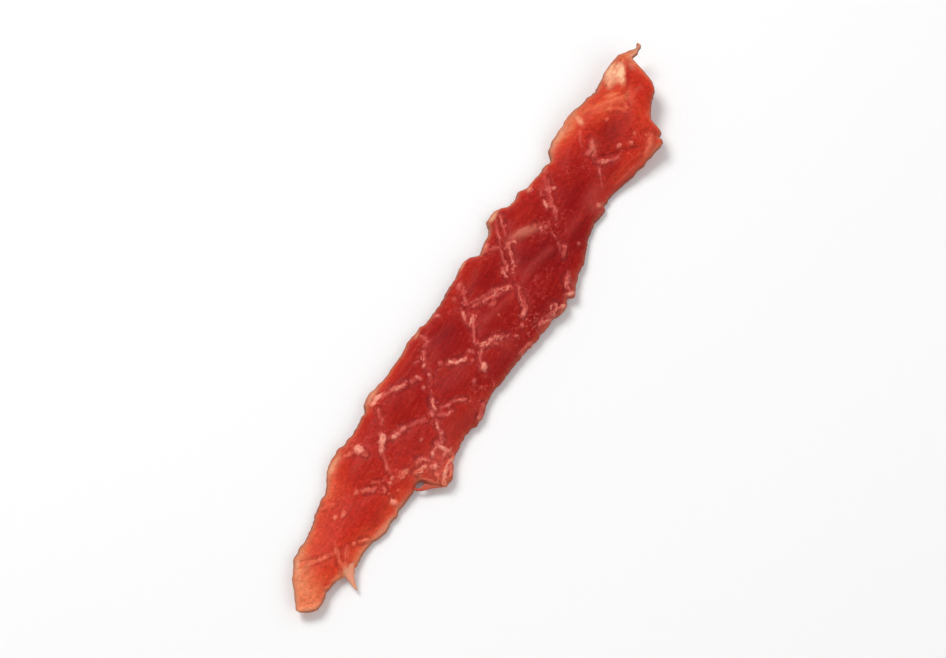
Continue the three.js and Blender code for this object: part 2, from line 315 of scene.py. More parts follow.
@dataclass(frozen=True)
class Welt:
    """A mark along a course: a lip of threads, a fold, a streak or a crease that a wire or a tear left.

    A pair called edges holds the two ends of an ease. Any other pair of one noise is its level and swing.
    """

    course: Pairs
    width: float
    height: float
    pallor: float
    style: Style = Style.LIP

    reach: ClassVar[float] = 2.5
    flake_seeds: ClassVar[int] = 300
    flake_pitch: ClassVar[float] = 0.5
    edge_flakes: ClassVar[float] = 0.3
    streak_edges: ClassVar[Pair] = (0.2, 0.95)
    crease_flakes: ClassVar[Pair] = (0.85, 0.5)

    # The torn threads: how many, how wide beside the mark, and how they stray, break and flake.
    threads: ClassVar[int] = 4
    thread_seeds: ClassVar[int] = 900
    thread_width: ClassVar[float] = 0.48
    usual_width: ClassVar[float] = 0.4
    most_stray: ClassVar[float] = 1.2
    wander: ClassVar[float] = 0.56
    wander_pitch: ClassVar[float] = 1.3
    wander_shift: ClassVar[Pair] = (9.0, 4.0)
    break_pitch: ClassVar[float] = 0.9
    break_shift: ClassVar[float] = 31.0
    break_edges: ClassVar[Pair] = (-0.55, 0.25)
    core_flakes: ClassVar[float] = 0.24
    core_edges: ClassVar[Pair] = (0.25, 0.95)
    thread_flakes: ClassVar[Pair] = (0.7, 0.5)

    # The stretches where the threads are grown together into one solid lip.
    body_pitch: ClassVar[float] = 1.1
    body_shift: ClassVar[float] = 40.0
    body_swing: ClassVar[float] = 0.55
    body_edges: ClassVar[Pair] = (0.38, 1.15)
    body_share: ClassVar[float] = 0.72
    slimness: ClassVar[float] = 0.86

    # The slow change of pallor, the shaded groove on one side, the halo and the crumbs.
    slow_seeds: ClassVar[int] = 500
    glow_pitch: ClassVar[float] = 1.5
    glow: ClassVar[Pair] = (0.8, 0.42)
    glow_flakes: ClassVar[float] = 0.35
    side_shift: ClassVar[float] = 17.0
    groove_patches: ClassVar[Pair] = (0.55, 0.9)
    groove: ClassVar[float] = 0.6
    groove_place: ClassVar[float] = 1.9
    groove_width: ClassVar[float] = 0.85
    groove_shade: ClassVar[float] = 1.6
    halo: ClassVar[float] = 0.17
    halo_width: ClassVar[float] = 2.4
    crumb_width: ClassVar[float] = 2.6
    crumb_edges: ClassVar[Pair] = (0.38, 0.6)
    crumb_height: ClassVar[float] = 0.3
    crumb_pallor: ClassVar[float] = 0.5
    brightness: ClassVar[float] = 0.94

    def across(self, x: Array, y: Array) -> Array:
        """Finds the distance of each place to the course: the least over its straight pieces.

        Args:
            x: Places along the strip.
            y: Places across the strip.

        Returns:
            Distances in mm.
        """
        least = np.full(x.shape, np.inf)
        for (ax, ay), (bx, by) in zip(self.course[:-1], self.course[1:]):
            length = (bx - ax) ** 2 + (by - ay) ** 2
            t = unit(((x - ax) * (bx - ax) + (y - ay) * (by - ay)) / length)
            least = np.minimum(least, np.hypot(x - ax - t * (bx - ax), y - ay - t * (by - ay)))
        return least

    def near(self, x: Array, y: Array) -> Array:
        """Tells which places lie in the course's box, widened by the mark's reach.

        Args:
            x: Places along the strip.
            y: Places across the strip.

        Returns:
            Whether each place does.
        """
        px, py = np.array(self.course).T
        along = (x > px.min() - self.reach) & (x < px.max() + self.reach)
        return along & (y > py.min() - self.reach) & (y < py.max() + self.reach)

    def thread(self, x: Array, y: Array, seed: int) -> Array:
        """Draws one torn thread: a narrow bell about the course, bent by one noise and broken by another.

        Args:
            x: Places along the strip.
            y: Places across the strip.
            seed: Sets the noises.

        Returns:
            Values from 0 to 1.
        """
        noise = Noise(seed)
        stray = self.wander * min(self.width / self.usual_width, self.most_stray)
        u, v = x / self.wander_pitch, y / self.wander_pitch
        wx = x + stray * noise.at(u, v)
        wy = y + stray * noise.at(u + self.wander_shift[0], v + self.wander_shift[1])
        broken = ease(noise.layers(x + self.break_shift, y, self.break_pitch, 2), *self.break_edges)
        return hump(self.across(wx, wy), self.thread_width * self.width) * broken

    def stamp(self, x: Array, y: Array, seed: int) -> tuple[Array, Array, Array]:
        """Forms the mark in its own style, as a bell across the course.

        Args:
            x: Places along the strip.
            y: Places across the strip.
            seed: Sets the noise of this mark.

        Returns:
            Heights in mm, and pallor and shade from 0 to 1.
        """
        gap = self.across(x, y)
        flake = Noise(seed + self.flake_seeds).layers(x, y, self.flake_pitch, 2)
        if self.style is Style.LIP:
            return self.lip(x, y, seed, gap, flake)
        whole = hump(gap, self.width)
        nothing = np.zeros(x.shape)
        if self.style is Style.CREASE:
            # A crease's pallor sets how much shade is painted along it.
            return -self.height * whole, nothing, self.pallor * whole * varied(flake, *self.crease_flakes)
        ragged = whole + self.edge_flakes * flake
        tone = whole if self.style is Style.FOLD else ease(ragged, *self.streak_edges)
        return self.height * whole, self.pallor * tone, nothing

    def lip(self, x: Array, y: Array, seed: int, gap: Array, flake: Array) -> tuple[Array, Array, Array]:
        """Raises a few torn threads with flaky edges, solid in stretches, with crumbs and a halo round them;
        their pale core is torn tissue with a painted highlight on the crest.

        A groove with painted shade runs beside them where a slow noise lets it, and the same noise varies their
        pallor.

        Args:
            x: Places along the strip.
            y: Places across the strip.
            seed: Sets the noise of this mark.
            gap: Distances to the course.
            flake: Fine noise.

        Returns:
            Heights in mm, and pallor and shade from 0 to 1.
        """
        threads = [self.thread(x, y, seed + self.thread_seeds * number) for number in range(self.threads)]
        lips = np.maximum.reduce(threads)
        slow = Noise(seed + self.slow_seeds)
        u, v = x / self.glow_pitch, y / self.glow_pitch
        glow = varied(slow.at(u, v), *self.glow)
        one_side = unit(varied(slow.at(u + self.side_shift, v), *self.groove_patches))
        beside = hump(gap - self.groove_place * self.width, self.groove_width * self.width) * one_side
        patchy = slow.layers(x - self.body_shift, y, self.body_pitch, 2)
        whole = hump(gap, self.slimness * self.width) + self.edge_flakes * flake
        body = self.body_share * ease(whole + self.body_swing * patchy, *self.body_edges)
        core = np.maximum(ease(lips + self.core_flakes * flake, *self.core_edges), body)
        crumbs = ease(flake, *self.crumb_edges) * hump(gap, self.crumb_width * self.width)
        rough = np.maximum(lips, body) * varied(flake, *self.thread_flakes)
        shape = rough - self.groove * beside + self.crumb_height * crumbs
        # The pale core: torn tissue, with a painted highlight on the crest.
        bright = np.maximum(core * glow * varied(flake, 1.0, self.glow_flakes), self.crumb_pallor * crumbs)
        pallor = bright + self.halo * hump(gap, self.halo_width * self.width)
        # Painted shade in the groove, stronger for paler lips.
        shade = min(self.groove_shade * self.pallor, 1.0) * beside
        return self.height * shape, self.brightness * self.pallor * pallor, shade


@dataclass(frozen=True)
class Bead:
    """A small lump of dried tissue: an oval dome, turned by degrees in plan."""

    x: float
    y: float
    length: float
    width: float
    turn: float = 0.0
    height: float = 0.35
    pallor: float = 0.7

    reach: ClassVar[float] = 2.5
    flake_pitch: ClassVar[float] = 0.55
    edge_flakes: ClassVar[float] = 0.5
    dome_flakes: ClassVar[float] = 0.25
    tone_flakes: ClassVar[Pair] = (0.95, 0.35)
    foot: ClassVar[float] = 1.6
    slope: ClassVar[float] = 0.95
    ring_seeds: ClassVar[int] = 500
    ring_pitch: ClassVar[float] = 1.1
    ring_patches: ClassVar[Pair] = (0.4, 0.9)
    ring_place: ClassVar[float] = 1.55
    ring_width: ClassVar[float] = 0.35
    ring_depth: ClassVar[float] = 0.2
    halo: ClassVar[float] = 0.12
    halo_width: ClassVar[float] = 2.2

    def near(self, x: Array, y: Array) -> Array:
        """Tells which places lie within the bead's reach."""
        return np.hypot(x - self.x, y - self.y) < self.reach

    def stamp(self, x: Array, y: Array, seed: int) -> tuple[Array, Array, Array]:
        """Raises the dome: full inside the oval and eased off at its foot, with uneven edges.

        A shallow ring with painted shade runs round part of the foot, and a faint halo beyond it.

        Args:
            x: Places along the strip.
            y: Places across the strip.
            seed: Sets the uneven edge.

        Returns:
            Heights in mm, and pallor and shade from 0 to 1.
        """
        u, v = turned(x, y, (self.x, self.y), self.turn)
        flake = Noise(seed).layers(x, y, self.flake_pitch, 2)
        oval = np.hypot(2.0 * u / self.length, 2.0 * v / self.width)
        radius = oval * varied(flake, 1.0, self.edge_flakes)
        dome = ease(self.foot - radius, 0.0, self.slope) * varied(flake, 1.0, self.dome_flakes)
        side = Noise(seed + self.ring_seeds).patches(x, y, self.ring_pitch, 1, *self.ring_patches)
        ring = hump(radius - self.ring_place, self.ring_width) * side
        pallor = dome * varied(flake, *self.tone_flakes) + self.halo * hump(radius, self.halo_width)
        return self.height * (dome - self.ring_depth * ring), self.pallor * pallor, self.pallor * ring


@dataclass(frozen=True)
class Patch:
    """A soft oval place: centre, reach along and across, amount, and turn in degrees."""

    x: float
    y: float
    reach_x: float
    reach_y: float
    amount: float
    turn: float = 0.0

    def at(self, x: Array, y: Array) -> Array:
        """Returns the amount times a bell over the oval's own radius."""
        u, v = turned(x, y, (self.x, self.y), self.turn)
        return self.amount * np.exp(-((u / self.reach_x) ** 2) - (v / self.reach_y) ** 2)


@dataclass(frozen=True)
class Lift:
    """How an end of the strip leaves the table: from one x to another, to a height."""

    start: float
    end: float
    height: float

    def at(self, x: Array) -> Array:
        """Returns the height times the eased share of the way from start to end."""
        return self.height * ease((x - self.start) / (self.end - self.start), 0.0, 1.0)


@dataclass(frozen=True)
class Site:
    """Places on the strip in mm: along it, across it, and how far in from each rim."""

    x: Array
    y: Array
    from_left: Array
    from_right: Array

    def inward(self) -> Array:
        """Returns the distances in from the nearer rim."""
        return np.minimum(self.from_left, self.from_right)

    def gather(self, places: Sequence[Patch]) -> Array:
        """Adds up soft places."""
        return sum(place.at(self.x, self.y) for place in places)


@dataclass(frozen=True)
class Curl:
    """A stretch of a rim that curls up: its side, middle, reach and height."""

    left: bool
    x: float
    reach: float
    height: float
    width: float = 4.0

    def at(self, site: Site) -> Array:
        """Returns a bell along the strip times a bell of the distance in from the rim."""
        inward = site.from_left if self.left else site.from_right
        return self.height * hump(site.x - self.x, self.reach) * hump(inward, self.width)


@dataclass(frozen=True)
class Wires:
    """One family of the rack's wires: their angle in degrees, and where each crosses the strip's middle."""

    angle: float
    crossings: tuple[float, ...]
    seed: int

    wander: ClassVar[float] = 0.45
    wander_pitch: ClassVar[float] = 7.0
    welt_seeds: ClassVar[int] = 23

    def offset(self, x: Array, y: Array) -> Array:
        """Finds the distance of each place to the nearest wire, all wires wandering together.

        Args:
            x: Places along the strip.
            y: Places across the strip.

        Returns:
            Signed distances in mm.
        """
        sine = math.sin(math.radians(abs(self.angle)))
        cosine = math.copysign(math.cos(math.radians(self.angle)), self.angle)
        wander = self.wander * Noise(self.seed).at(x / self.wander_pitch, y / self.wander_pitch)
        nearest = np.full(x.shape, np.inf)
        for crossing in self.crossings:
            offset = (x - crossing) * sine - y * cosine + wander
            nearest = np.where(np.abs(offset) < np.abs(nearest), offset, nearest)
        return nearest


@dataclass
class Shell:
    """A closed surface in mm with the traits that its finish reads at each point."""

    points: Array
    faces: list[Array]
    traits: dict[str, Array]


def loft(rings: Array, traits: dict[str, Array]) -> Shell:
    """Closes a grid of rings into a surface: P(i, j) on ring i, and a fan to the middle of each end ring.

    Args:
        rings: Points as rings by points round each by three.
        traits: Values at the same grid, one array a trait.

    Returns:
        The closed shell, its faces outwards.
    """
    rows, around, _ = rings.shape
    row = np.arange(rows)[:, None] * around
    column = np.arange(around)
    beside = np.roll(column, -1)
    here, there = row[:-1], row[1:]
    quads = np.stack([here + column, there + column, there + beside, here + beside], axis=-1)
    first, last = rows * around, (rows - 1) * around
    start = np.stack([np.full(around, first), column, beside], axis=-1)
    end = np.stack([np.full(around, first + 1), last + beside, last + column], axis=-1)
    points = np.concatenate([rings.reshape(-1, 3), rings[[0, -1]].mean(axis=1)])
    closed = {
        name: np.concatenate([values.ravel(), values[[0, -1]].mean(axis=1)])
        for name, values in traits.items()
    }
    return Shell(points, [quads.reshape(-1, 4), start, end], closed)


def join(shells: Sequence[Shell]) -> Shell:
    """Puts several shells into one, each keeping its own faces.

    Args:
        shells: Shells with the same traits.

    Returns:
        One shell that holds them all.
    """
    counts = np.cumsum([0] + [len(shell.points) for shell in shells])
    faces = [face + count for shell, count in zip(shells, counts) for face in shell.faces]
    traits = {
        name: np.concatenate([shell.traits[name] for shell in shells]) for name in shells[0].traits
    }
    return Shell(np.concatenate([shell.points for shell in shells]), faces, traits)


def make_object(name: str, shell: Shell) -> bpy.types.Object:
    """Puts a shell into a new object at the origin, in metres, with its traits as point attributes.

    Args:
        name: Name of the object and its mesh.
        shell: Shape in the outline's frame in mm.

    Returns:
        The object, linked to the scene.
    """
    mesh = bpy.data.meshes.new(name)
    points = (shell.points + np.array(OUTLINE_TO_FRAME)) * MILLIMETRE
    corners = np.concatenate([face.ravel() for face in shell.faces]).astype(np.int32)
    sizes = np.concatenate([np.full(len(face), face.shape[1]) for face in shell.faces])
    starts = np.concatenate([[0], np.cumsum(sizes)[:-1]]).astype(np.int32)
    mesh.vertices.add(len(points))
    mesh.vertices.foreach_set("co", points.astype(np.float32).ravel())
    mesh.loops.add(len(corners))
    mesh.loops.foreach_set("vertex_index", corners)
    mesh.polygons.add(len(starts))
    mesh.polygons.foreach_set("loop_start", starts)
    mesh.polygons.foreach_set("use_smooth", np.ones(len(starts), bool))
    mesh.update(calc_edges=True)
    mesh.validate()
    for trait, values in shell.traits.items():
        attribute = mesh.attributes.new(trait, "FLOAT", "POINT")
        attribute.data.foreach_set("value", values.astype(np.float32))
    piece = bpy.data.objects.new(name, mesh)
    bpy.context.scene.collection.objects.link(piece)
    return piece


@dataclass(frozen=True)
class Wisp:
    """A torn thread or web of meat: a flat oval carried along a course with a width at each point."""

    course: tuple[tuple[float, float, float], ...]
    half_widths: tuple[float, ...]
    thickness: float
    thin: Pair
    pale: float
    dry: float
    sides: int = 22
    steps: int = 30
    raggedness: float = 0.12
    waves: Pair = (7.0, 1.6)
    cream: float = 0.65
    crust: float = 0.1
    edge: float = 0.85
    grit: float = 0.9

    def surface(self) -> Shell:
        """Carries an oval along the course: centre + side * w * cos(t) + over * h * sin(t).

        Returns:
            The thread's shell.
        """
        s = np.linspace(0.0, 1.0, self.steps + 1)
        centre = np.stack([self.smooth(values, s) for values in np.array(self.course).T], axis=-1)
        width = self.smooth(np.array(self.half_widths), s)
        tangent = np.gradient(centre, axis=0)
        tangent /= np.linalg.norm(tangent, axis=1, keepdims=True)
        side = np.cross(tangent, [0.0, 0.0, 1.0])
        side /= np.linalg.norm(side, axis=1, keepdims=True)
        over = np.cross(side, tangent)
        turn = 2.0 * np.pi * np.arange(self.sides) / self.sides
        noise = Noise(Seed.WISPS).at(self.waves[0] * s[:, None], self.waves[1] * turn[None, :])
        ragged = varied(noise, 1.0, self.raggedness)
        reach_side = width[:, None] * np.cos(turn) * ragged
        half = np.minimum(0.5 * self.thickness, width)[:, None]
        rings = (
            centre[:, None, :]
            + side[:, None, :] * reach_side[..., None]
            + over[:, None, :] * (half * np.sin(turn))[..., None]
        )
        return loft(rings, self.traits(s[:, None] * np.ones(self.sides), np.abs(np.cos(turn))))

    @staticmethod
    def smooth(values: Array, s: Array) -> Array:
        """Samples a curve through values at even knots, with the chords' mean slope at each knot."""
        knots = np.linspace(0.0, 1.0, len(values))
        return through(knots, values, np.gradient(values, knots), s)

    def traits(self, along: Array, outward: Array) -> dict[str, Array]:
        """Works out what the finish reads: paler, drier and darker at the edges towards the tip, the darkness
        being dried meat and painted shade.

        Args:
            along: Share of the way along the thread, from 0 to 1.
            outward: Share of the way out to its edges, from 0 to 1.

        Returns:
            Each trait from 0 to 1.
        """
        level = np.ones(along.shape)
        return dict.fromkeys(("shade", "deep", "warm"), 0.0 * level) | {
            "cream": self.cream * self.pale * along,
            "thin": self.thin[0] + (self.thin[1] - self.thin[0]) * along,
            "pale": self.pale * (0.5 + 0.5 * along),
            "crust": self.crust * level,
            "dry": self.dry * (0.4 + 0.6 * along) * (0.5 + 0.5 * outward),
            # The dark line along the wisp's sides: dried meat and painted shade.
            "edge": self.edge * along * outward**6,
            "grit": self.grit * level,
        }


LEFT_COURSE: Pairs = (
    (-69.8, 3.8), (-69.0, 4.2), (-67.9, 4.8), (-64.0, 7.8), (-60.2, 9.2), (-53.5, 9.5), (-51.3, 10.3),
    (-45.8, 10.9), (-41.2, 13.0), (-39.4, 13.0), (-34.6, 12.0), (-29.0, 11.8), (-27.3, 12.6), (-25.2, 13.2),
    (-19.3, 12.0), (-7.8, 11.2), (-3.6, 10.3), (5.0, 10.2), (8.0, 10.6), (10.3, 10.0), (12.3, 8.5),
    (17.4, 9.0), (19.6, 10.4), (21.6, 10.3), (23.4, 9.8), (24.6, 8.5), (26.2, 7.9), (28.0, 8.3),
    (30.5, 6.6), (35.3, 6.0), (37.0, 5.4), (39.8, 7.2), (48.6, 6.5), (51.4, 5.7), (53.6, 4.8), (55.5, 4.4),
    (60.5, 4.3), (64.4, 3.8), (65.8, 2.6), (67.0, 1.7), (68.0, 1.3), (68.9, 1.6),
)
RIGHT_COURSE: Pairs = (
    (-69.8, 2.7), (-69.1, 1.6), (-67.2, -0.2), (-66.5, -0.2), (-62.4, 0.3), (-59.6, -1.0), (-58.0, -2.2),
    (-56.2, -1.9), (-51.0, -2.4), (-47.8, -3.6), (-41.3, -4.1), (-38.2, -4.6), (-37.0, -4.4), (-35.8, -4.7),
    (-35.2, -7.5), (-34.1, -9.9), (-32.0, -9.7), (-28.6, -8.2), (-21.8, -7.9), (-20.0, -9.1), (-14.6, -8.4),
    (-4.3, -9.7), (0.0, -10.4), (6.0, -11.4), (10.4, -12.5), (11.9, -11.9), (13.1, -12.9), (17.7, -11.6),
    (23.0, -10.5), (26.4, -9.4), (30.4, -9.1), (33.4, -9.5), (34.3, -8.7), (38.5, -9.7), (43.0, -11.2),
    (48.5, -12.7), (51.8, -13.6), (52.2, -12.4), (53.2, -12.3), (55.3, -8.9), (56.6, -8.1), (60.4, -6.8),
    (62.4, -5.3), (63.6, -3.4), (64.9, -0.5), (65.5, 0.6), (66.9, 0.1), (68.0, 0.15), (68.9, 0.85),
)

FOOT_MARKS: tuple[Welt, ...] = several(
    Welt,
    (((-61.3, 7.6), (-59.6, 5.8), (-57.9, 4.4)), 0.4, 0.16, 0.26),
    (((-63.4, 6.3), (-61.4, 6.5), (-59.6, 5.4)), 0.34, 0.1, 0.18),
    (((-58.4, 4.6), (-57.6, 4.0)), 0.42, 0.2, 0.42), (((-57.4, 3.9), (-55.4, 2.4)), 0.36, 0.16, 0.28),
    (((-54.2, 3.8), (-55.6, 2.5), (-57.2, 1.0), (-58.8, -0.6)), 0.36, 0.2, 0.28),
    (((-53.8, 1.4), (-56.5, 0.3), (-58.8, -1.3)), 0.42, 0.18, 0.34),
    (((-57.0, 0.4), (-58.2, -0.6), (-59.2, -1.8)), 0.5, 0.12, 0.3),
    (((-49.8, 9.6), (-48.6, 8.8), (-47.6, 8.0)), 0.36, 0.14, 0.26),
    (((-51.8, -0.2), (-50.8, -1.2)), 0.36, 0.2, 0.46),
    (((-60.6, 6.9), (-59.0, 5.1), (-57.4, 3.4)), 0.34, 0.08, 0.24, Style.CREASE),
    (((-55.6, 3.0), (-57.0, 1.6), (-58.6, 0.2)), 0.3, 0.08, 0.26, Style.CREASE),
)
FLAP_MARKS: tuple[Welt, ...] = several(
    Welt,
    (((-35.6, 8.6), (-35.8, 7.4)), 0.4, 0.2, 0.55),
    (((-38.2, 11.0), (-37.0, 10.3), (-36.0, 9.8)), 0.34, 0.16, 0.45),
    (((-30.2, 4.8), (-28.6, 4.0), (-27.1, 3.5)), 0.45, 0.34, 0.8),
    (((-26.5, 3.0), (-25.2, 1.9), (-23.8, 0.6)), 0.38, 0.2, 0.38),
    (((-26.6, 9.8), (-27.6, 8.7), (-28.7, 7.8)), 0.42, 0.24, 0.52),
    (((-33.8, 4.9), (-35.2, 3.3), (-36.8, 1.6)), 0.34, 0.2, 0.45),
    (((-42.6, 4.2), (-41.7, 3.1), (-40.9, 2.6)), 0.38, 0.22, 0.55),
    (((-40.0, 3.2), (-39.4, 2.5)), 0.34, 0.2, 0.45), (((-39.9, 1.2), (-40.6, 0.6)), 0.36, 0.2, 0.5),
    (((-36.6, -0.4), (-35.6, -0.9), (-34.7, -1.3)), 0.42, 0.3, 0.78),
    (((-34.7, -2.7), (-33.7, -3.2), (-32.3, -4.1)), 0.42, 0.34, 0.72),
    (((-32.9, -2.3), (-31.8, -2.1), (-31.2, -2.7), (-30.9, -3.8)), 0.4, 0.32, 0.62),
    (((-34.0, -9.3), (-33.2, -8.6), (-32.0, -8.1), (-30.6, -7.8), (-29.0, -7.6), (-27.9, -7.9)),
     0.4, 0.5, 0.86),
    (((-33.6, -8.0), (-32.9, -7.4), (-32.5, -6.4)), 0.4, 0.34, 0.7),
    (((-26.9, -3.6), (-27.1, -4.8), (-27.5, -6.0), (-27.2, -6.9)), 0.48, 0.44, 0.68),
    (((-28.5, -6.1), (-27.7, -6.3)), 0.4, 0.4, 0.62),
    (((-26.3, -4.2), (-25.0, -3.3), (-24.3, -2.4), (-23.0, -1.2)), 0.44, 0.38, 0.75),
    (((-32.7, -8.8), (-31.4, -9.1), (-30.5, -8.6), (-30.2, -8.0)), 0.36, 0.3, 0.45),
    (((-34.8, -8.2), (-34.6, -6.2), (-35.0, -4.6)), 0.36, 0.24, 0.26),
    (((-31.8, -4.9), (-31.4, -5.9)), 0.42, 0.34, 0.66),
    (((-29.6, -3.9), (-28.4, -4.0), (-27.4, -3.6)), 0.4, 0.3, 0.58),
    (((-33.6, -5.2), (-32.6, -5.8), (-32.0, -7.0)), 0.3, 0.2, 0.5, Style.CREASE),
    (((-30.4, -4.6), (-30.3, -5.8), (-29.5, -6.7)), 0.42, 0.22, 0.6, Style.CREASE),
)
MIDDLE_MARKS: tuple[Welt, ...] = several(
    Welt,
    (((-23.8, 11.0), (-22.6, 10.0), (-21.2, 9.3)), 0.36, 0.26, 0.5),
    (((-21.6, 9.5), (-20.4, 8.7), (-19.2, 7.9)), 0.5, 0.36, 0.76),
    (((-18.3, 7.0), (-17.3, 6.6)), 0.36, 0.24, 0.5), (((-14.5, 8.2), (-13.8, 7.8)), 0.34, 0.2, 0.5),
    (((-12.9, 7.2), (-11.5, 8.0)), 0.36, 0.24, 0.55),
    (((-10.5, 8.2), (-9.2, 8.4), (-8.9, 10.4)), 0.36, 0.24, 0.5),
    (((-11.5, 8.0), (-13.5, 6.3), (-14.4, 4.7)), 0.36, 0.16, 0.26),
    (((-15.0, 4.7), (-17.2, 3.2), (-18.8, 2.1)), 0.4, 0.18, 0.32),
    (((-19.5, 1.6), (-20.4, 1.0), (-21.0, 0.1)), 0.46, 0.32, 0.68),
    (((-21.9, 0.5), (-22.5, -0.2)), 0.42, 0.26, 0.6),
    (((-20.2, -0.7), (-19.2, -1.6), (-17.8, -2.2), (-16.9, -3.1), (-16.4, -4.2)), 0.36, 0.3, 0.7),
    (((-21.8, -1.0), (-21.0, -2.2), (-19.8, -3.0)), 0.36, 0.3, 0.7),
    (((-11.2, 2.4), (-10.2, 1.0), (-9.0, 0.0)), 0.5, 0.36, 0.75),
    (((-7.2, 0.1), (-6.8, -0.6)), 0.34, 0.22, 0.5),
    (((-0.1, 3.2), (-0.9, 2.6), (-1.9, 2.0)), 0.52, 0.36, 0.72),
    (((-1.9, 2.0), (-3.4, 1.2), (-4.4, 0.4), (-4.9, -0.8)), 0.36, 0.26, 0.5),
    (((-5.3, -1.9), (-6.3, -2.1), (-7.6, -2.6), (-8.3, -3.4), (-9.0, -4.2)), 0.46, 0.36, 0.74),
    (((-5.0, -1.3), (-4.4, -1.9), (-3.6, -2.2), (-2.8, -2.6), (-2.0, -3.2), (-1.3, -4.1)), 0.5, 0.38, 0.78),
    (((-1.3, -4.1), (-0.6, -4.9)), 0.34, 0.2, 0.45),
    (((-3.9, -2.6), (-3.2, -3.3), (-2.8, -4.0)), 0.42, 0.3, 0.6),
    (((-19.1, -8.6), (-18.0, -8.4), (-16.6, -8.1), (-15.6, -7.8)), 0.38, 0.3, 0.56),
    (((-2.8, -9.1), (-0.5, -9.6), (0.3, -9.7)), 0.36, 0.26, 0.5),
)
SHOULDER_MARKS: tuple[Welt, ...] = several(
    Welt,
    (((4.2, 7.7), (3.0, 6.7), (1.4, 5.4)), 0.42, 0.24, 0.44),
    (((2.2, 4.6), (4.4, 3.4), (6.6, 2.1)), 0.34, 0.24, 0.36), (((1.9, 3.9), (3.0, 3.0)), 0.4, 0.26, 0.5),
    (((3.9, 2.9), (4.8, 2.2), (5.6, 1.5), (6.7, 0.8)), 0.5, 0.34, 0.68),
    (((6.8, 1.6), (8.0, 0.8), (8.9, -0.3)), 0.5, 0.38, 0.72), (((3.6, 1.2), (4.6, 0.7)), 0.34, 0.2, 0.45),
    (((10.5, 1.2), (11.1, 2.2), (11.8, 2.8)), 0.38, 0.26, 0.55),
    (((11.8, 1.9), (12.6, 2.3), (13.3, 2.8)), 0.4, 0.3, 0.66),
    (((13.3, 2.8), (14.1, 4.0), (15.6, 5.2), (16.9, 6.2)), 0.32, 0.2, 0.34),
    (((12.2, 0.4), (13.1, 1.0), (14.2, 1.4)), 0.42, 0.32, 0.7),
    (((14.3, 1.6), (15.1, 2.3), (16.0, 3.4), (16.9, 4.2)), 0.36, 0.32, 0.58),
    (((16.5, 4.1), (17.2, 4.3), (18.4, 3.5)), 0.5, 0.36, 0.85),
    (((18.6, 4.1), (20.6, 3.0), (21.8, 2.1), (22.7, 1.1)), 1.05, 0.24, 0.2, Style.STREAK),
    (((18.9, 4.2), (20.8, 3.6), (22.2, 2.6)), 0.4, 0.1, 0.42, Style.STREAK),
    (((22.7, 0.9), (23.5, 1.7)), 0.34, 0.2, 0.5),
    (((22.6, -0.5), (23.3, 0.2), (23.9, 0.3)), 0.36, 0.24, 0.55),
    (((17.5, 6.6), (19.0, 8.0), (20.5, 9.0)), 0.34, 0.24, 0.5),
    (((18.8, 5.8), (20.4, 7.4), (22.2, 8.6)), 0.34, 0.26, 0.55),
    (((13.2, 7.8), (14.4, 6.8), (15.4, 5.6)), 0.34, 0.24, 0.45),
    (((19.9, -6.8), (21.0, -6.4), (22.2, -5.9)), 0.38, 0.3, 0.52),
    (((22.2, -4.6), (21.2, -5.4)), 0.3, 0.2, 0.36),
    (((9.8, -2.2), (8.4, -3.0), (7.4, -4.4), (6.2, -5.4), (4.6, -5.6)), 0.4, 0.3, 0.6),
    (((0.0, 0.2), (4.0, -0.8), (8.0, -1.8), (12.0, -2.2), (16.0, -2.6), (20.0, -3.8)),
     0.9, 0.24, 0.1, Style.FOLD),
    (((18.2, -4.6), (21.0, -5.6), (24.0, -6.6), (27.0, -6.9), (30.0, -7.3)),
     0.45, 0.16, 0.55, Style.CREASE),
    (((3.4, 2.0), (5.2, 0.6), (7.4, -0.6)), 0.32, 0.16, 0.5, Style.CREASE),
    (((14.4, 1.2), (16.0, 2.6), (17.2, 3.4), (18.6, 2.4), (20.6, 0.6)), 0.32, 0.16, 0.5, Style.CREASE),
    (((4.6, -9.5), (5.6, -10.1), (6.5, -10.9)), 0.5, 0.34, 0.85),
    (((6.9, -9.9), (7.5, -10.4)), 0.38, 0.24, 0.6),
    (((7.6, -10.9), (8.6, -10.4), (9.7, -10.2)), 0.48, 0.32, 0.84),
    (((9.2, -10.9), (10.2, -11.8)), 0.5, 0.34, 0.85),
    (((14.2, -11.1), (15.2, -10.0), (16.4, -9.4)), 0.46, 0.36, 0.7),
    (((15.4, -10.8), (16.6, -9.9), (17.6, -9.3)), 0.34, 0.22, 0.45),
)
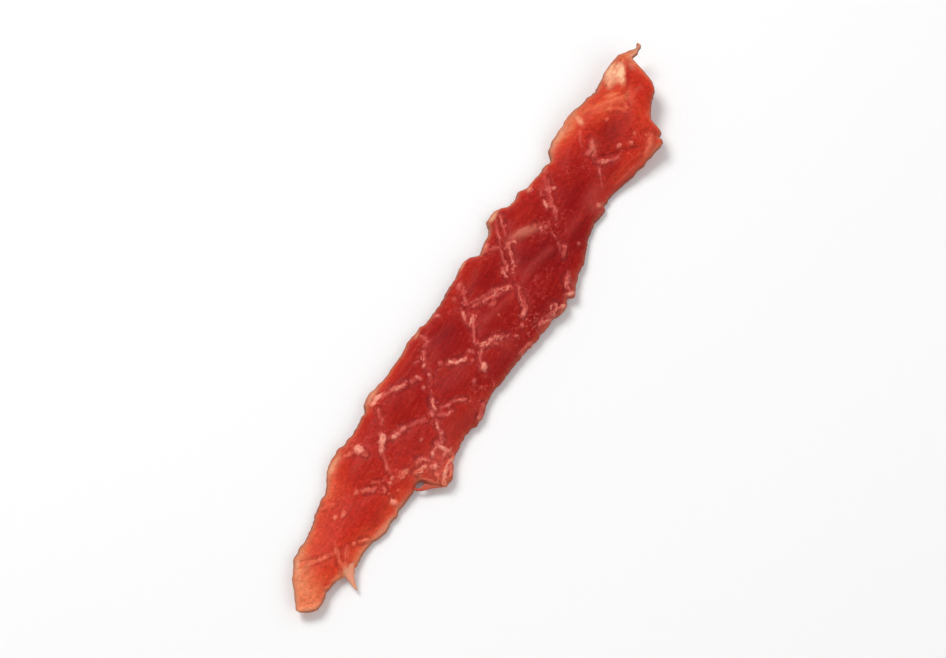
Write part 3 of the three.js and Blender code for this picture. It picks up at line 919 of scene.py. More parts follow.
LIMB_MARKS: tuple[Welt, ...] = several(
    Welt,
    (((28.8, 0.5), (30.4, 1.6), (31.6, 2.8), (33.0, 4.0), (34.0, 5.0)), 0.55, 0.26, 0.42),
    (((26.9, -1.4), (27.9, -0.8), (29.0, 0.0)), 0.34, 0.22, 0.42),
    (((24.9, -0.9), (25.5, -0.6)), 0.32, 0.2, 0.42), (((30.0, 3.5), (31.6, 4.4)), 0.36, 0.22, 0.5),
    (((23.6, -2.1), (23.0, -3.4)), 0.3, 0.22, 0.4), (((39.8, -5.0), (41.3, -3.8)), 0.34, 0.2, 0.42),
    (((37.6, -6.6), (39.6, -5.1)), 0.24, 0.1, 0.18, Style.STREAK),
    (((39.0, -8.6), (42.2, -9.5), (45.0, -10.2)), 0.24, 0.05, 0.1, Style.STREAK),
    (((42.5, -8.1), (45.2, -8.8), (48.0, -9.9)), 0.18, 0.05, 0.11, Style.STREAK),
    (((40.4, -7.0), (43.0, -7.7), (45.0, -8.0)), 0.16, 0.05, 0.08, Style.STREAK),
    (((42.2, -3.2), (42.8, -4.1), (43.4, -4.9)), 0.46, 0.36, 0.72),
    (((43.4, -4.9), (44.0, -5.6), (44.9, -6.3)), 0.34, 0.24, 0.55),
    (((42.6, -0.4), (44.2, -0.6), (45.9, 0.1)), 0.4, 0.2, 0.46),
    (((43.2, -1.9), (44.4, -1.0), (45.9, 0.2)), 0.46, 0.22, 0.46),
    (((43.6, 1.2), (44.7, 2.3), (46.6, 3.2)), 0.3, 0.08, 0.2, Style.STREAK),
    (((53.4, -0.2), (54.2, -1.6), (54.9, -3.1)), 0.42, 0.16, 0.2),
    (((55.0, -3.0), (55.9, -2.4)), 0.42, 0.14, 0.22),
    (((51.6, 2.6), (53.6, 1.4), (55.4, 0.2), (56.4, -0.9)), 0.9, 0.14, 0.12, Style.STREAK),
    (((56.6, -3.4), (58.6, -2.8), (60.4, -3.6)), 0.8, 0.1, 0.12, Style.STREAK),
    (((48.0, -11.1), (50.4, -11.0), (51.3, -10.3), (52.4, -9.8)), 0.5, 0.26, 0.25),
    (((64.4, 1.0), (62.6, 0.2), (60.6, -0.6), (58.6, -1.2), (56.8, -1.9)), 0.6, 0.14, 0.36, Style.CREASE),
    (((53.0, -0.9), (53.9, -2.4), (54.4, -3.6)), 0.42, 0.1, 0.34, Style.CREASE),
    (((43.9, -3.3), (45.6, -5.4), (46.8, -6.3), (48.9, -8.7)), 0.4, 0.26, 0.85, Style.CREASE),
    (((48.6, -6.3), (50.2, -6.6), (51.4, -6.1)), 0.4, 0.1, 0.4, Style.CREASE),
)
BEADS: tuple[Bead, ...] = several(
    Bead,
    (-49.8, 6.4, 1.0, 0.8, 0, 0.3, 0.45), (-48.5, 5.3, 1.5, 0.8, 10, 0.35, 0.5),
    (-52.6, 0.6, 0.8, 0.7, 0, 0.3, 0.42), (-57.8, 4.2, 0.8, 0.7, -30, 0.3, 0.45),
    (-55.5, 3.0, 1.0, 0.5, 35, 0.25, 0.4), (-50.9, -1.0, 1.2, 0.45, -60, 0.25, 0.5),
    (-35.5, 9.2, 1.8, 2.0, 0, 0.45, 0.82), (-31.5, 6.05, 2.3, 1.25, 24, 0.5, 1.0),
    (-43.4, 5.3, 0.9, 0.7, 0, 0.25, 0.45), (-38.6, 0.5, 0.7, 0.7, 0, 0.3, 0.6),
    (-37.5, 0.6, 0.8, 0.7, 0, 0.3, 0.6), (-41.7, -2.0, 1.0, 1.3, 0, 0.35, 0.8),
    (-28.0, -0.6, 0.7, 0.6, 0, 0.25, 0.36), (-29.4, -3.9, 0.9, 0.7, 0, 0.3, 0.6),
    (-31.4, -5.6, 0.9, 0.8, 0, 0.35, 0.7), (-25.8, 11.4, 1.4, 0.9, -20, 0.3, 0.8),
    (-24.4, 11.3, 1.9, 0.9, -18, 0.32, 0.95), (-16.8, 6.3, 0.75, 1.4, -10, 0.4, 0.62),
    (-18.1, 4.3, 0.8, 0.7, 0, 0.3, 0.5), (-14.1, 6.5, 0.8, 0.7), (-15.3, 4.7, 0.6, 0.6),
    (-12.1, 3.9, 0.9, 0.8, 0, 0.3, 0.4), (-8.5, -1.4, 0.7, 0.6, 0, 0.2, 0.4),
    (-8.6, -4.0, 1.6, 1.1, 35, 0.45, 0.95), (-12.3, -3.8, 1.0, 0.6, 20, 0.25, 0.42),
    (-12.7, -5.7, 0.6, 0.5, 0, 0.2, 0.36), (-18.5, -8.2, 0.9, 0.6, 0, 0.25, 0.62),
    (4.3, 8.6, 1.5, 0.9, 10, 0.3, 0.42), (1.3, 8.1, 0.8, 0.7, 0, 0.2, 0.3),
    (14.5, 8.0, 1.2, 0.8, 0, 0.3, 0.5), (5.4, -5.5, 2.0, 0.9, 5, 0.42, 0.6),
    (28.5, 1.8, 1.7, 0.7, 48, 0.4, 0.78), (32.6, 2.0, 0.8, 0.7), (33.6, -7.9, 1.3, 0.8, 30, 0.3, 0.36),
    (47.3, -5.4, 1.25, 0.65, -20, 0.42, 0.62), (49.0, -7.3, 0.65, 0.95, -20, 0.35, 0.5),
    (51.0, -7.0, 0.7, 0.5, 40, 0.25, 0.36), (51.2, -0.6, 0.7, 0.6, 0, 0.28, 0.36),
    (-1.05, 4.6, 2.1, 0.7, 47, 0.36, 0.68), (-27.4, -5.3, 0.95, 2.9, -4, 0.42, 0.66),
    (-3.6, 9.5, 1.5, 0.7, -50, 0.3, 0.5), (2.8, -6.5, 0.9, 0.7, 30, 0.3, 0.52),
    (2.4, -1.4, 0.6, 0.5, 0, 0.2, 0.32), (24.0, -8.2, 0.8, 0.6, 0, 0.25, 0.36),
    (13.5, -11.9, 1.6, 0.9, -38, 0.36, 0.85), (10.4, -11.8, 0.9, 0.7, -30, 0.32, 0.85),
    (0.2, -6.6, 0.9, 0.5, -50, 0.25, 0.45), (23.4, 0.3, 0.6, 0.5, 0, 0.25, 0.55),
    (24.1, -0.6, 0.6, 0.6, 0, 0.25, 0.55), (35.5, 5.4, 1.0, 0.6, 0, 0.25, 0.4),
    (30.0, 6.0, 1.1, 0.7, -40, 0.3, 0.4), (-33.3, 5.35, 1.6, 0.85, 16, 0.42, 0.85),
)


@dataclass(frozen=True)
class Imprint:
    """What the rack and the drying left at each place.

    The heights of the wires' low relief and of the marks are in mm. The rest runs from 0 to 1: how pale and
    how shaded the marks are, how near a wire the place is, and how deep in a cell between the wires.
    """

    wires: Array
    marks: Array
    pallor: Array
    shade: Array
    near: Array
    cell: Array


@dataclass(frozen=True)
class Complexion:
    """Where the meat is thin, deep, warm, pale, crusted or dried: what its finish reads at each point."""

    # Thinness, which lets light through, painted as a glow in the colour: along the strip, in from each rim,
    # and in places.
    base_glow: Curve = Curve((
        (-68, 0.88), (-64, 0.74), (-60, 0.53), (-54, 0.36), (-46, 0.22), (-36, 0.18), (-28, 0.1),
        (-18, 0.02), (40, 0.0), (46, 0.06), (50, 0.13), (54, 0.26), (60, 0.24), (64, 0.45), (66, 0.75),
        (69, 0.8),
    ))
    left_glow: Curve = Curve((
        (-66, 0.15), (-60, 0.46), (-54, 0.42), (-48, 0.54), (-42, 0.75), (-36, 0.5), (-30, 0.48),
        (-24, 0.75), (-12, 0.62), (-6, 0.5), (0, 0.3), (6, 0.6), (12, 0.58), (18, 0.46), (30, 0.62),
        (36, 0.5), (42, 0.86), (48, 0.76), (54, 0.36), (66, 0.2),
    ))
    left_glow_reach: Curve = Curve((
        (-60, 2.6), (-48, 2.6), (-42, 2.4), (-36, 1.5), (-30, 1.2), (-24, 1.9), (-12, 1.3), (0, 0.8),
        (12, 1.1), (24, 1.3), (36, 1.5), (42, 3.1), (48, 5.0), (54, 5.8), (66, 3.0),
    ))
    right_glow: Curve = Curve((
        (-64, 0.2), (-58, 0.5), (-54, 0.6), (-48, 0.62), (-42, 0.34), (-34, 0.3), (-26, 0.2), (-12, 0.1),
        (-6, 0.02), (0, 0.18), (16, 0.14), (24, 0.0), (31, 0.0), (36, 0.22), (45, 0.2), (49, 0.4),
        (51, 0.4), (53, 0.05), (55.5, 0.3), (60, 0.1), (66, 0.25),
    ))
    right_glow_reach: Curve = Curve((
        (-60, 1.1), (-48, 2.0), (-40, 3.6), (-30, 3.4), (-18, 2.0), (0, 1.2), (30, 1.2), (40, 1.8),
        (54, 1.3),
    ))
    glow_falloff: float = 1.2

    # Places of painted glow, and at (-62.6, 0.9) painted shade where the foot's lower rim turns down.
    glow_places: tuple[Patch, ...] = several(
        Patch,
        (55.3, 0.0, 3.4, 1.7, 0.28, -24), (50.6, 1.2, 2.2, 1.6, 0.12), (43.0, 4.8, 3.6, 1.8, 0.16),
        (41.0, -8.2, 4.6, 1.2, 0.26, -14), (58.2, -1.7, 2.6, 0.9, 0.26), (-46.0, 7.0, 3.0, 2.0, 0.06),
        (-62.6, 0.9, 3.0, 0.9, -0.3), (-48.0, -1.6, 3.0, 1.0, -0.06), (58.5, 0.4, 1.8, 1.0, 0.12, 20),
        (56.4, 1.0, 1.8, 0.45, 0.25, -42), (54.2, 1.6, 2.6, 0.6, 0.18, -48),
        (51.8, 3.6, 2.0, 0.4, 0.08, -40), (54.0, 2.8, 1.8, 0.9, -0.08, -30),
        (46.4, 5.0, 3.4, 0.4, 0.06, -10), (49.8, -2.8, 3.4, 2.1, -0.13), (-61.0, 6.4, 2.2, 0.35, 0.2, -20),
        (-58.6, 4.9, 1.6, 0.3, 0.2, -45), (54.3, -1.4, 2.2, 0.35, 0.24, -64),
        (56.0, -5.6, 4.0, 0.5, 0.1, 40),
    )
    uneven_pitch: float = 2.6
    uneven_thinness: float = 0.2
    uneven_glow: float = 0.3
    streak_pitch: float = 0.8
    streak_stretch: float = 3.6
    streak_depth: float = 0.6

    # The tissue: how flakes and unevenness break up the cream and the veils, and where each colour lies.
    flake_cream: float = 0.6
    uneven_veil: float = 0.6
    cream_places: tuple[Patch, ...] = several(
        Patch,
        (60.2, 3.0, 3.4, 1.9, 0.72), (62.0, 1.5, 1.9, 0.9, 0.72, 28), (59.9, 0.3, 1.5, 0.8, 0.42, 20),
        (60.4, 3.9, 2.6, 0.8, 0.25), (62.3, 2.5, 1.5, 0.8, 0.42, 15), (53.6, 5.4, 1.4, 0.4, 0.25),
        (13.8, 8.0, 2.2, 0.5, 0.35), (48.7, 4.6, 1.7, 0.8, 0.58, 58), (-62.4, 7.5, 3.0, 0.7, 0.5, 32),
        # The patch at (-58.2, -1.0) is cream tissue, and also painted light over the shaded seam where the spur
        # leaves the rim.
        (-58.2, -1.0, 1.6, 0.9, 0.58, 35), (68.2, 1.3, 1.5, 0.7, 0.85), (-56.0, -1.2, 3.0, 0.5, 0.2),
        (43.0, 6.3, 4.2, 0.7, 0.3, -2), (-24.6, 12.6, 2.8, 0.5, 0.2), (-41.0, 12.1, 3.2, 1.0, 0.55),
        (43.5, 6.7, 3.0, 0.6, 0.25), (30.0, 6.3, 1.4, 0.5, 0.4), (-26.0, 12.9, 1.8, 0.8, 0.4),
        (-23.6, 12.4, 1.4, 0.7, 0.25), (21.2, 10.0, 2.0, 0.7, 0.6), (8.0, 10.3, 2.2, 0.6, 0.6),
        (-9.0, 10.9, 1.4, 0.5, 0.4), (56.0, -7.4, 0.8, 0.6, 0.25), (34.0, -8.2, 0.9, 0.7, 0.35),
    )
    cream_pitch: float = 0.8
    cream_stretch: float = 1.8
    cream_edges: Pair = (0.1, 1.1)
    cell_depth: Curve = Curve((
        (-69, 0.0), (-45, 0.08), (-20, 0.16), (-5, 0.34), (30, 0.34), (50, 0.2), (69, 0.1),
    ))
    deep_places: tuple[Patch, ...] = several(
        Patch,
        (19.0, -4.0, 6.5, 3.4, 0.8), (31.0, -2.6, 6.0, 2.4, 0.5), (-6.0, 6.0, 3.4, 2.8, 0.4),
        (6.5, -7.5, 6.0, 2.4, 0.3), (48.8, -2.8, 4.0, 2.7, 0.75, -12), (50.6, -0.9, 2.6, 1.8, 0.24, -30),
        (52.6, -4.2, 1.7, 1.2, 0.5), (50.9, 5.2, 0.9, 0.6, 0.7, -30), (57.0, -5.2, 3.0, 1.0, 0.4, 30),
        (61.2, -2.2, 2.4, 1.6, 0.5, 30), (58.6, -6.7, 2.8, 0.8, 0.6, 25), (15.0, 0.2, 2.6, 1.5, 0.5),
        (5.0, 6.4, 3.0, 1.6, 0.25), (8.0, 3.6, 2.4, 1.6, 0.2), (22.0, -7.2, 5.0, 1.4, 0.55),
        (53.0, -11.2, 0.7, 1.4, 0.8), (51.8, -8.8, 1.8, 1.2, 0.5),
    )
    veil_places: tuple[Patch, ...] = several(
        Patch,
        (27.0, -5.2, 4.6, 1.3, 0.07, -4), (36.0, -5.6, 3.6, 1.7, 0.14), (-12.5, 0.0, 3.6, 2.6, 0.06),
        (-31.5, -5.6, 4.0, 3.2, 0.2), (-23.0, -4.6, 3.0, 2.4, 0.08), (50.6, -10.9, 1.9, 0.8, 0.15, 15),
        (-3.0, -6.2, 3.4, 1.8, 0.08), (33.2, -7.6, 1.2, 1.6, 0.2, 70), (-18.0, -6.4, 4.0, 1.2, 0.1),
        (43.8, -10.2, 4.4, 0.6, 0.14, -15),
    )
    warm_places: tuple[Patch, ...] = several(
        Patch,
        (-60.0, 4.5, 9.0, 7.0, 0.75), (-47.0, 8.0, 6.0, 3.5, 0.5), (57.0, -4.0, 6.5, 5.0, 0.85),
        (44.0, 4.0, 8.0, 3.0, 0.5), (2.0, 8.6, 4.5, 1.6, 0.5), (48.0, -9.5, 6.0, 2.4, 0.4),
        (-17.0, -5.0, 5.0, 2.4, 0.35), (24.0, 4.8, 4.0, 2.2, 0.4), (9.0, 8.0, 3.0, 1.6, 0.45),
    )
    crust_places: tuple[Patch, ...] = several(
        Patch,
        (-31.0, -5.0, 4.5, 4.5, 0.8), (-39.5, 1.8, 3.0, 3.0, 0.6), (4.5, -7.0, 5.8, 3.0, 0.86),
        (23.0, -1.5, 3.0, 3.5, 0.74), (-16.0, -6.0, 5.6, 2.4, 0.62), (-25.0, 11.6, 3.0, 1.4, 0.7),
        (13.5, 7.4, 3.0, 1.6, 0.45), (44.0, -3.0, 2.4, 4.0, 0.12), (50.0, -7.4, 2.6, 1.6, 0.3),
        (-5.5, -1.0, 3.0, 2.4, 0.4),
    )
    wire_crust: float = 0.55
    crust_pitch: float = 2.4
    crust_patches: Pair = (0.5, 0.9)
    crust_level: float = 0.8
    crust_most: float = 1.3
    under_crust: float = 0.3
    under_cream: float = 0.6
    grit: Curve = Curve((
        (-69, 1.0), (-46, 0.9), (-36, 0.7), (-24, 0.6), (-12, 0.4), (0, 0.45), (20, 0.65), (33, 0.8),
        (40, 0.7), (48, 0.8), (56, 1.0), (69, 1.0),
    ))
    cell_smoothness: float = 0.5

    # The rims: a dried band and a dark line inside each, the line being dried meat and painted shade, and where
    # a wisp grows out and neither shows.
    left_dry: Curve = Curve((
        (-69, 0.9), (-60, 1.0), (-54, 0.8), (-46, 0.7), (-42, 0.9), (-36, 0.55), (-28, 0.6), (-24, 0.9),
        (-16, 0.6), (-6, 0.6), (2, 0.5), (8, 0.7), (20, 0.9), (28, 0.9), (36, 0.7), (42, 1.0), (50, 1.0),
        (60, 0.9), (69, 0.8),
    ))
    right_dry: Curve = Curve((
        (-69, 0.8), (-64, 0.4), (-56, 0.6), (-46, 0.9), (-38, 0.6), (-30, 0.2), (0, 0.25), (12, 0.4),
        (24, 0.2), (34, 0.4), (38, 0.15), (47, 0.2), (51, 0.5), (54, 0.4), (57, 0.2), (61, 0.3), (64, 0.6),
        (69, 0.8),
    ))
    dry_width: float = 0.62
    dry_pitch: float = 2.0
    dry_patches: Pair = (0.85, 0.5)
    dry_places: tuple[Patch, ...] = several(
        Patch,
        (-24.6, 12.5, 3.2, 0.7, 0.5), (21.3, 10.1, 2.2, 0.6, 0.35), (45.6, 6.4, 3.2, 0.8, 0.46, -4),
        (49.5, 6.2, 1.1, 0.5, 0.3), (67.0, 1.3, 1.1, 0.7, 0.4), (20.9, 2.7, 2.8, 1.0, 0.36, -38),
        (68.2, 1.2, 1.5, 0.9, 0.55), (64.2, 0.4, 1.0, 0.8, 0.4, 60), (-47.6, -2.7, 3.2, 0.6, 0.45, -12),
        (40.4, 6.3, 1.4, 0.7, 0.35, 15), (-41.6, 11.8, 3.4, 0.9, 0.2), (-60.0, 8.6, 3.0, 0.5, 0.3),
        (50.6, -10.6, 2.2, 0.8, 0.12, 15), (44.4, -1.0, 1.6, 0.7, 0.16, 25),
    )
    # How dark the line along each rim is: dried meat, and painted shade where the rim turns down.
    left_edge: Curve = Curve((
        (-69, 0.6), (-64, 0.7), (-60, 1.1), (-46, 1.1), (-42, 0.75), (-38, 1.15), (-30, 1.3), (-24, 0.85),
        (-18, 1.3), (-10, 0.85), (-2, 1.3), (8, 1.1), (18, 1.0), (22, 0.7), (27, 1.25), (31, 0.6),
        (36, 1.1), (42, 0.95), (46, 0.5), (50, 1.1), (55, 1.3), (60, 0.8), (69, 0.8),
    ))
    left_edge_width: float = 0.52
    right_edge: Curve = Curve((
        (-69, 1.0), (-37, 1.0), (-33, 0.3), (24, 0.3), (30, 1.0), (69, 1.0),
    ))
    right_edge_width: float = 0.22
    grown_places: tuple[Patch, ...] = several(
        Patch,
        (-58.4, -1.4, 2.2, 1.5, 1.5), (-37.6, -4.2, 0.7, 0.8, 0.8), (-34.5, -8.6, 0.8, 1.2, 0.7),
    )

    def thinness(self, seen: Site) -> Array:
        """Works out how far light comes through, which the colour paints as a glow: a base along the strip,
        streaky places and the rims.

        Each rim adds its glow times exp(-(distance / reach)^falloff), and a noise makes the whole uneven.

        Args:
            seen: Places as the camera sees them.

        Returns:
            Thinness from 0 to 1.
        """
        x, y = seen.x, seen.y
        uneven = Noise(Seed.UNEVEN).layers(x, y, self.uneven_pitch, 3)
        streaky = Noise(Seed.STREAKS).layers((x - y) / self.streak_stretch, x + y, self.streak_pitch, 2)
        streaks = varied(streaky, 1.0, self.streak_depth)
        thin = self.base_glow.at(x) + streaks * seen.gather(self.glow_places)
        for distance, glow, reach in (
            (seen.from_left, self.left_glow, self.left_glow_reach),
            (seen.from_right, self.right_glow, self.right_glow_reach),
        ):
            share = distance * varied(uneven, 1.0, self.uneven_glow) / reach.at(x)
            thin = thin + glow.at(x) * np.exp(-(np.maximum(share, 0.0) ** self.glow_falloff))
        return unit(thin * varied(uneven, 1.0, self.uneven_thinness))

    def tissue(self, seen: Site, imprint: Imprint, on_top: Array) -> dict[str, Array]:
        """Works out the tissue's colours: marks and veils, cream, deep and warm places, crust and grit.

        Args:
            seen: Places as the camera sees them.
            imprint: What the rack left there.
            on_top: Which places are on the upper face.

        Returns:
            Pallor, cream, deep, warm and crust, each from 0 to 1.
        """
        x, y = seen.x, seen.y
        uneven = Noise(Seed.UNEVEN).layers(x, y, self.uneven_pitch, 3)
        flake = Noise(Seed.CREAM).layers(x / self.cream_stretch, y, self.cream_pitch, 2)
        cream = seen.gather(self.cream_places) * varied(flake, 1.0, self.flake_cream)
        veil = seen.gather(self.veil_places) * varied(uneven, 1.0, self.uneven_veil)
        patchy = Noise(Seed.CRUST).patches(x, y, self.crust_pitch, 2, *self.crust_patches)
        places = seen.gather(self.crust_places) * np.clip(self.crust_level + uneven, 0.0, self.crust_most)
        crust = self.wire_crust * imprint.near * patchy + places
        return {
            "pale": unit(imprint.pallor * on_top + veil),
            "cream": ease(cream, *self.cream_edges) * np.where(on_top, 1.0, self.under_cream),
            "deep": unit(self.cell_depth.at(x) * imprint.cell + seen.gather(self.deep_places)),
            "warm": unit(seen.gather(self.warm_places)),
            "crust": unit(crust) * np.where(on_top, 1.0, self.under_crust),
        }

    def rims(self, site: Site, seen: Site, on_top: Array, at_edge: Array) -> dict[str, Array]:
        """Works out the rims: pale dried bands inside them, and a dark line along them that is dried meat and
        painted shade where the rim turns down.

        Args:
            site: Places on the strip.
            seen: The same places as the camera sees them.
            on_top: Which places are on the upper face.
            at_edge: Which places may carry the dark line.

        Returns:
            Dryness and the dark line with its painted shade, each from 0 to 1.
        """
        uneven = varied(Noise(Seed.DRYNESS).layers(site.x, site.y, self.dry_pitch, 3), *self.dry_patches)
        left = self.left_dry.at(site.x) * hump(site.from_left, self.dry_width)
        right = self.right_dry.at(site.x) * hump(site.from_right, self.dry_width)
        dry = uneven * np.maximum(left, right) + seen.gather(self.dry_places) * on_top
        left = self.left_edge.at(site.x) * hump(site.from_left, self.left_edge_width)
        right = self.right_edge.at(site.x) * hump(site.from_right, self.right_edge_width)
        whole = 1.0 - unit(site.gather(self.grown_places))
        return {"dry": unit(dry * whole), "edge": np.maximum(left, right) * at_edge * whole}


@dataclass(frozen=True)
class DuckStrip:
    """The meat itself: the outline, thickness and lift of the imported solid, and its finer relief."""

    # The outline: both rims, and how the ends close.
    left: Rim = Rim(Curve(LEFT_COURSE), Seed.LEFT_RIM)
    right: Rim = Rim(Curve(RIGHT_COURSE), Seed.RIGHT_RIM)
    end_round: float = 0.8
    end_bluntness: float = 0.35

    # The thickness: the whole body, the rounded rim, the wedge from each rim up to the body, thinner places.
    body: Curve = Curve((
        (-69.1, 1.5), (-62, 2.1), (-52, 2.9), (-40, 3.7), (-20, 4.2), (5, 4.4), (25, 4.1), (40, 3.6),
        (52, 3.2), (60, 2.5), (65, 1.4), (67, 0.8), (69.3, 0.5),
    ))
    rim_thickness: float = 0.75
    rim_round: float = 0.5
    left_wedge: Curve = Curve((
        (-69, 2.2), (-50, 3.2), (-42, 3.6), (-28, 2.0), (0, 1.8), (24, 1.8), (40, 2.8), (50, 3.4),
        (62, 2.4), (69, 0.6),
    ))
    right_wedge: Curve = Curve((
        (-69, 1.8), (-50, 1.6), (-34, 1.9), (-20, 2.3), (25, 2.3), (42, 2.0), (56, 1.5), (63, 1.5),
        (69, 0.6),
    ))
    wedge_fullness: float = 1.4
    thin_places: tuple[Patch, ...] = several(
        Patch,
        (59.5, 2.5, 3.5, 2.6, 0.45), (46.0, 5.8, 6.0, 1.8, 0.45), (-12.0, 10.6, 8.0, 1.4, 0.4),
        (-24.5, 12.2, 3.5, 1.6, 0.5), (-42.0, 11.8, 5.5, 1.8, 0.45), (-49.0, -2.4, 7.0, 1.6, 0.4),
        (49.0, -1.5, 4.2, 3.0, 0.28),
    )

    # The lift off the table: the two ends, the arch in the middle, curled rims, and every rim's own rise.
    lifts: tuple[Lift, ...] = several(Lift, (-48, -72, 1.4), (37, 67, 4.0), (63, 71, 1.15))
    arch_x: float = -7.0
    arch_reach: float = 15.0
    arch_height: float = 0.7
    curls: tuple[Curl, ...] = several(
        Curl,
        (True, 44, 12, 1.2), (True, -34, 14, 0.9), (True, 12, 8, 0.6), (False, -32, 7, 0.9),
        (False, 12, 10, 0.9), (False, 50, 8, 0.8),
    )
    under_rim_rise: float = 0.75
    under_rim_width: float = 1.5
    pressed_flat: float = 0.12

    # The rack: its wires, how strongly they show along the strip, and the welts and cells that they leave.
    rising: Wires = Wires(40, (43.3, 29.2, 11.8, -3.9, -21.4, -38.0, -57.6), Seed.RISING_WIRES)
    falling: Wires = Wires(-38, (38.0, 24.2, 8.3, -9.2, -22.3, -37.3, -52.8), Seed.FALLING_WIRES)
    imprint: Curve = Curve((
        (-69, 0.25), (-50, 0.4), (-38, 1), (30, 1), (46, 0.8), (56, 0.2), (66, 0.1),
    ))
    welt_height: float = 0.16
    welt_width: float = 0.6
    welt_pitch: float = 2.2
    welt_patches: Pair = (0.5, 0.9)
    wire_reach: float = 2.2
    cell_bulge: float = 0.42
    cell_shoulder: float = 2.2

    # The level over the table on which the marks were placed, as the camera sees it, and its own rise.
    reading_level: float = 1.2
    reading_lift: Lift = Lift(40, 70, 4.0)

    # The fine relief of the top.
    swell_height: float = 0.35
    swell_pitch: float = 11.0
    grain_height: float = 0.03
    grain_length: float = 9.0
    grain_pitch: float = 1.9
    strand_height: float = 0.035
    strand_length: float = 6.0
    strand_pitch: float = 0.8
    strand_lean: float = 0.1
    crumb_height: float = 0.07
    crumb_pitch: float = 0.75
    marks_inset: float = 0.7

    # The hollows and furrows of the underside.
    hollow_depth: float = 0.22
    hollow_pitch: float = 3.4
    hollow_patches: Pair = (0.25, 1.0)
    furrow_depth: float = 0.16
    furrow_length: float = 7.0
    furrow_pitch: float = 1.3
    furrow_patches: Pair = (0.3, 1.0)
    hollow_most: float = 0.3

    # The grid: stations along the strip, closer where the rims run steeply, and the points of each ring.
    stations: int = 590
    station_samples: int = 4001
    end_inset: float = 0.12
    crowding: float = 0.5
    top_segments: int = 130
    under_segments: int = 36
    rim_crowding: float = 0.45

    # The marks, the thin spur at the foot, the web at the flap, and the places of the colours.
    marks: tuple[Welt | Bead, ...] = (
        FOOT_MARKS + FLAP_MARKS + MIDDLE_MARKS + SHOULDER_MARKS + LIMB_MARKS + BEADS
    )
    wisps: tuple[Wisp, ...] = (
        Wisp(
            (
                (-56.0, 0.6, 1.8), (-57.3, -0.6, 2.02), (-58.4, -1.6, 2.08), (-59.3, -2.6, 1.8),
                (-60.0, -3.5, 1.42), (-60.4, -4.5, 1.1),
            ),
            half_widths=(1.3, 1.3, 1.0, 0.62, 0.36, 0.15),
            thickness=0.5, thin=(0.8, 1.0), pale=0.95, dry=0.8,
        ),
        Wisp(
            (
                (-37.45, -3.5, 1.6), (-37.5, -4.6, 1.55), (-37.1, -5.5, 1.5), (-36.1, -6.1, 1.6),
                (-35.0, -7.2, 1.75), (-34.3, -8.7, 1.85),
            ),
            half_widths=(0.4, 0.24, 0.35, 0.7, 0.85, 0.6),
            thickness=0.5, thin=(0.34, 0.24), pale=0.16, dry=0.3,
        ),
    )
    complexion: Complexion = Complexion()

    def station_places(self) -> Array:
        """Places the stations: even steps of x plus a share of the rims' own rise and fall.

        Returns:
            The x of each station in mm, rising.
        """
        foot, tip = LEFT_COURSE[0][0], LEFT_COURSE[-1][0]
        x = np.linspace(foot + self.end_inset, tip - self.end_inset, self.station_samples)
        rise = np.abs(np.diff(self.left.torn(x))) + np.abs(np.diff(self.right.torn(x)))
        travelled = np.concatenate([[0.0], np.cumsum(np.diff(x) + self.crowding * rise)])
        return np.interp(np.linspace(0.0, travelled[-1], self.stations), travelled, x)

    def span(self, x: Array) -> tuple[Array, Array]:
        """Finds the middle and half width at each station, both ends rounded in plan by a quarter circle.

        Args:
            x: Station places.

        Returns:
            The y of the middle, and the half width.
        """
        foot, tip = LEFT_COURSE[0][0], LEFT_COURSE[-1][0]
        from_end = np.minimum(np.minimum(x - foot, tip - x), self.end_round)
        rounding = np.sqrt(unit(1.0 - ((self.end_round - from_end) / self.end_round) ** 2))
        left, right = self.left.at(x), self.right.at(x)
        share = self.end_bluntness + (1.0 - self.end_bluntness) * rounding
        return (left + right) / 2.0, (left - right) / 2.0 * share

    def ring_shares(self) -> tuple[Array, Array]:
        """Spreads a ring's points across the strip: a mix of even and sine spacing, closer at the rims.

        Returns:
            The share of the half width from -1 to 1, and whether the point is on top.
        """
        top = np.arange(self.top_segments) / self.top_segments
        under = 1.0 - np.arange(self.under_segments) / self.under_segments
        even = 2.0 * np.concatenate([top, under]) - 1.0
        share = even + self.rim_crowding * (np.sin(even * np.pi / 2.0) - even)
        return share, np.arange(len(share)) < self.top_segments

    def wedge(self, site: Site) -> Array:
        """Grows the body in from both rims: the product of 1 - exp(-(distance / width)^fullness).

        Args:
            site: Places on the strip.

        Returns:
            Shares of the full body, 0 at the rims.
        """
        left = 1.0 - np.exp(-((site.from_left / self.left_wedge.at(site.x)) ** self.wedge_fullness))
        right = 1.0 - np.exp(-((site.from_right / self.right_wedge.at(site.x)) ** self.wedge_fullness))
        return left * right

    def meat(self, site: Site) -> tuple[Array, Array]:
        """Works out the thickness without its fine relief: a rounded rim, and the wedge times the body.

        Args:
            site: Places on the strip.

        Returns:
            Thickness in mm, and the wedge's share.
        """
        inward = np.minimum(site.inward(), self.rim_round)
        body = self.body.at(site.x)
        rim = self.rim_thickness * np.sqrt(unit(1.0 - (1.0 - inward / self.rim_round) ** 2))
        full = self.wedge(site)
        pared = np.ones(site.y.shape)
        for place in self.thin_places:
            pared = pared * (1.0 - place.at(site.x, site.y))
        swell = Noise(Seed.SWELL).at(site.x / self.swell_pitch, site.y / self.swell_pitch)
        inner = np.maximum(body * pared - self.rim_thickness, 0.0) + self.swell_height * swell
        return rim * np.minimum(body / self.rim_thickness, 1.0) + full * np.maximum(inner, 0.0), full

    def underside(self, site: Site) -> Array:
        """Lifts the underside: end lifts, arch, curls and rim rise together, less what lies flat.

        Args:
            site: Places on the strip.

        Returns:
            Heights over the table in mm.
        """
        height = self.arch_height * hump(site.x - self.arch_x, self.arch_reach) + sum(
            lift.at(site.x) for lift in self.lifts
        )
        for curl in self.curls:
            height = height + curl.at(site)
        rim = self.under_rim_rise * hump(site.inward(), self.under_rim_width)
        return np.maximum(height + rim - self.pressed_flat, 0.0)

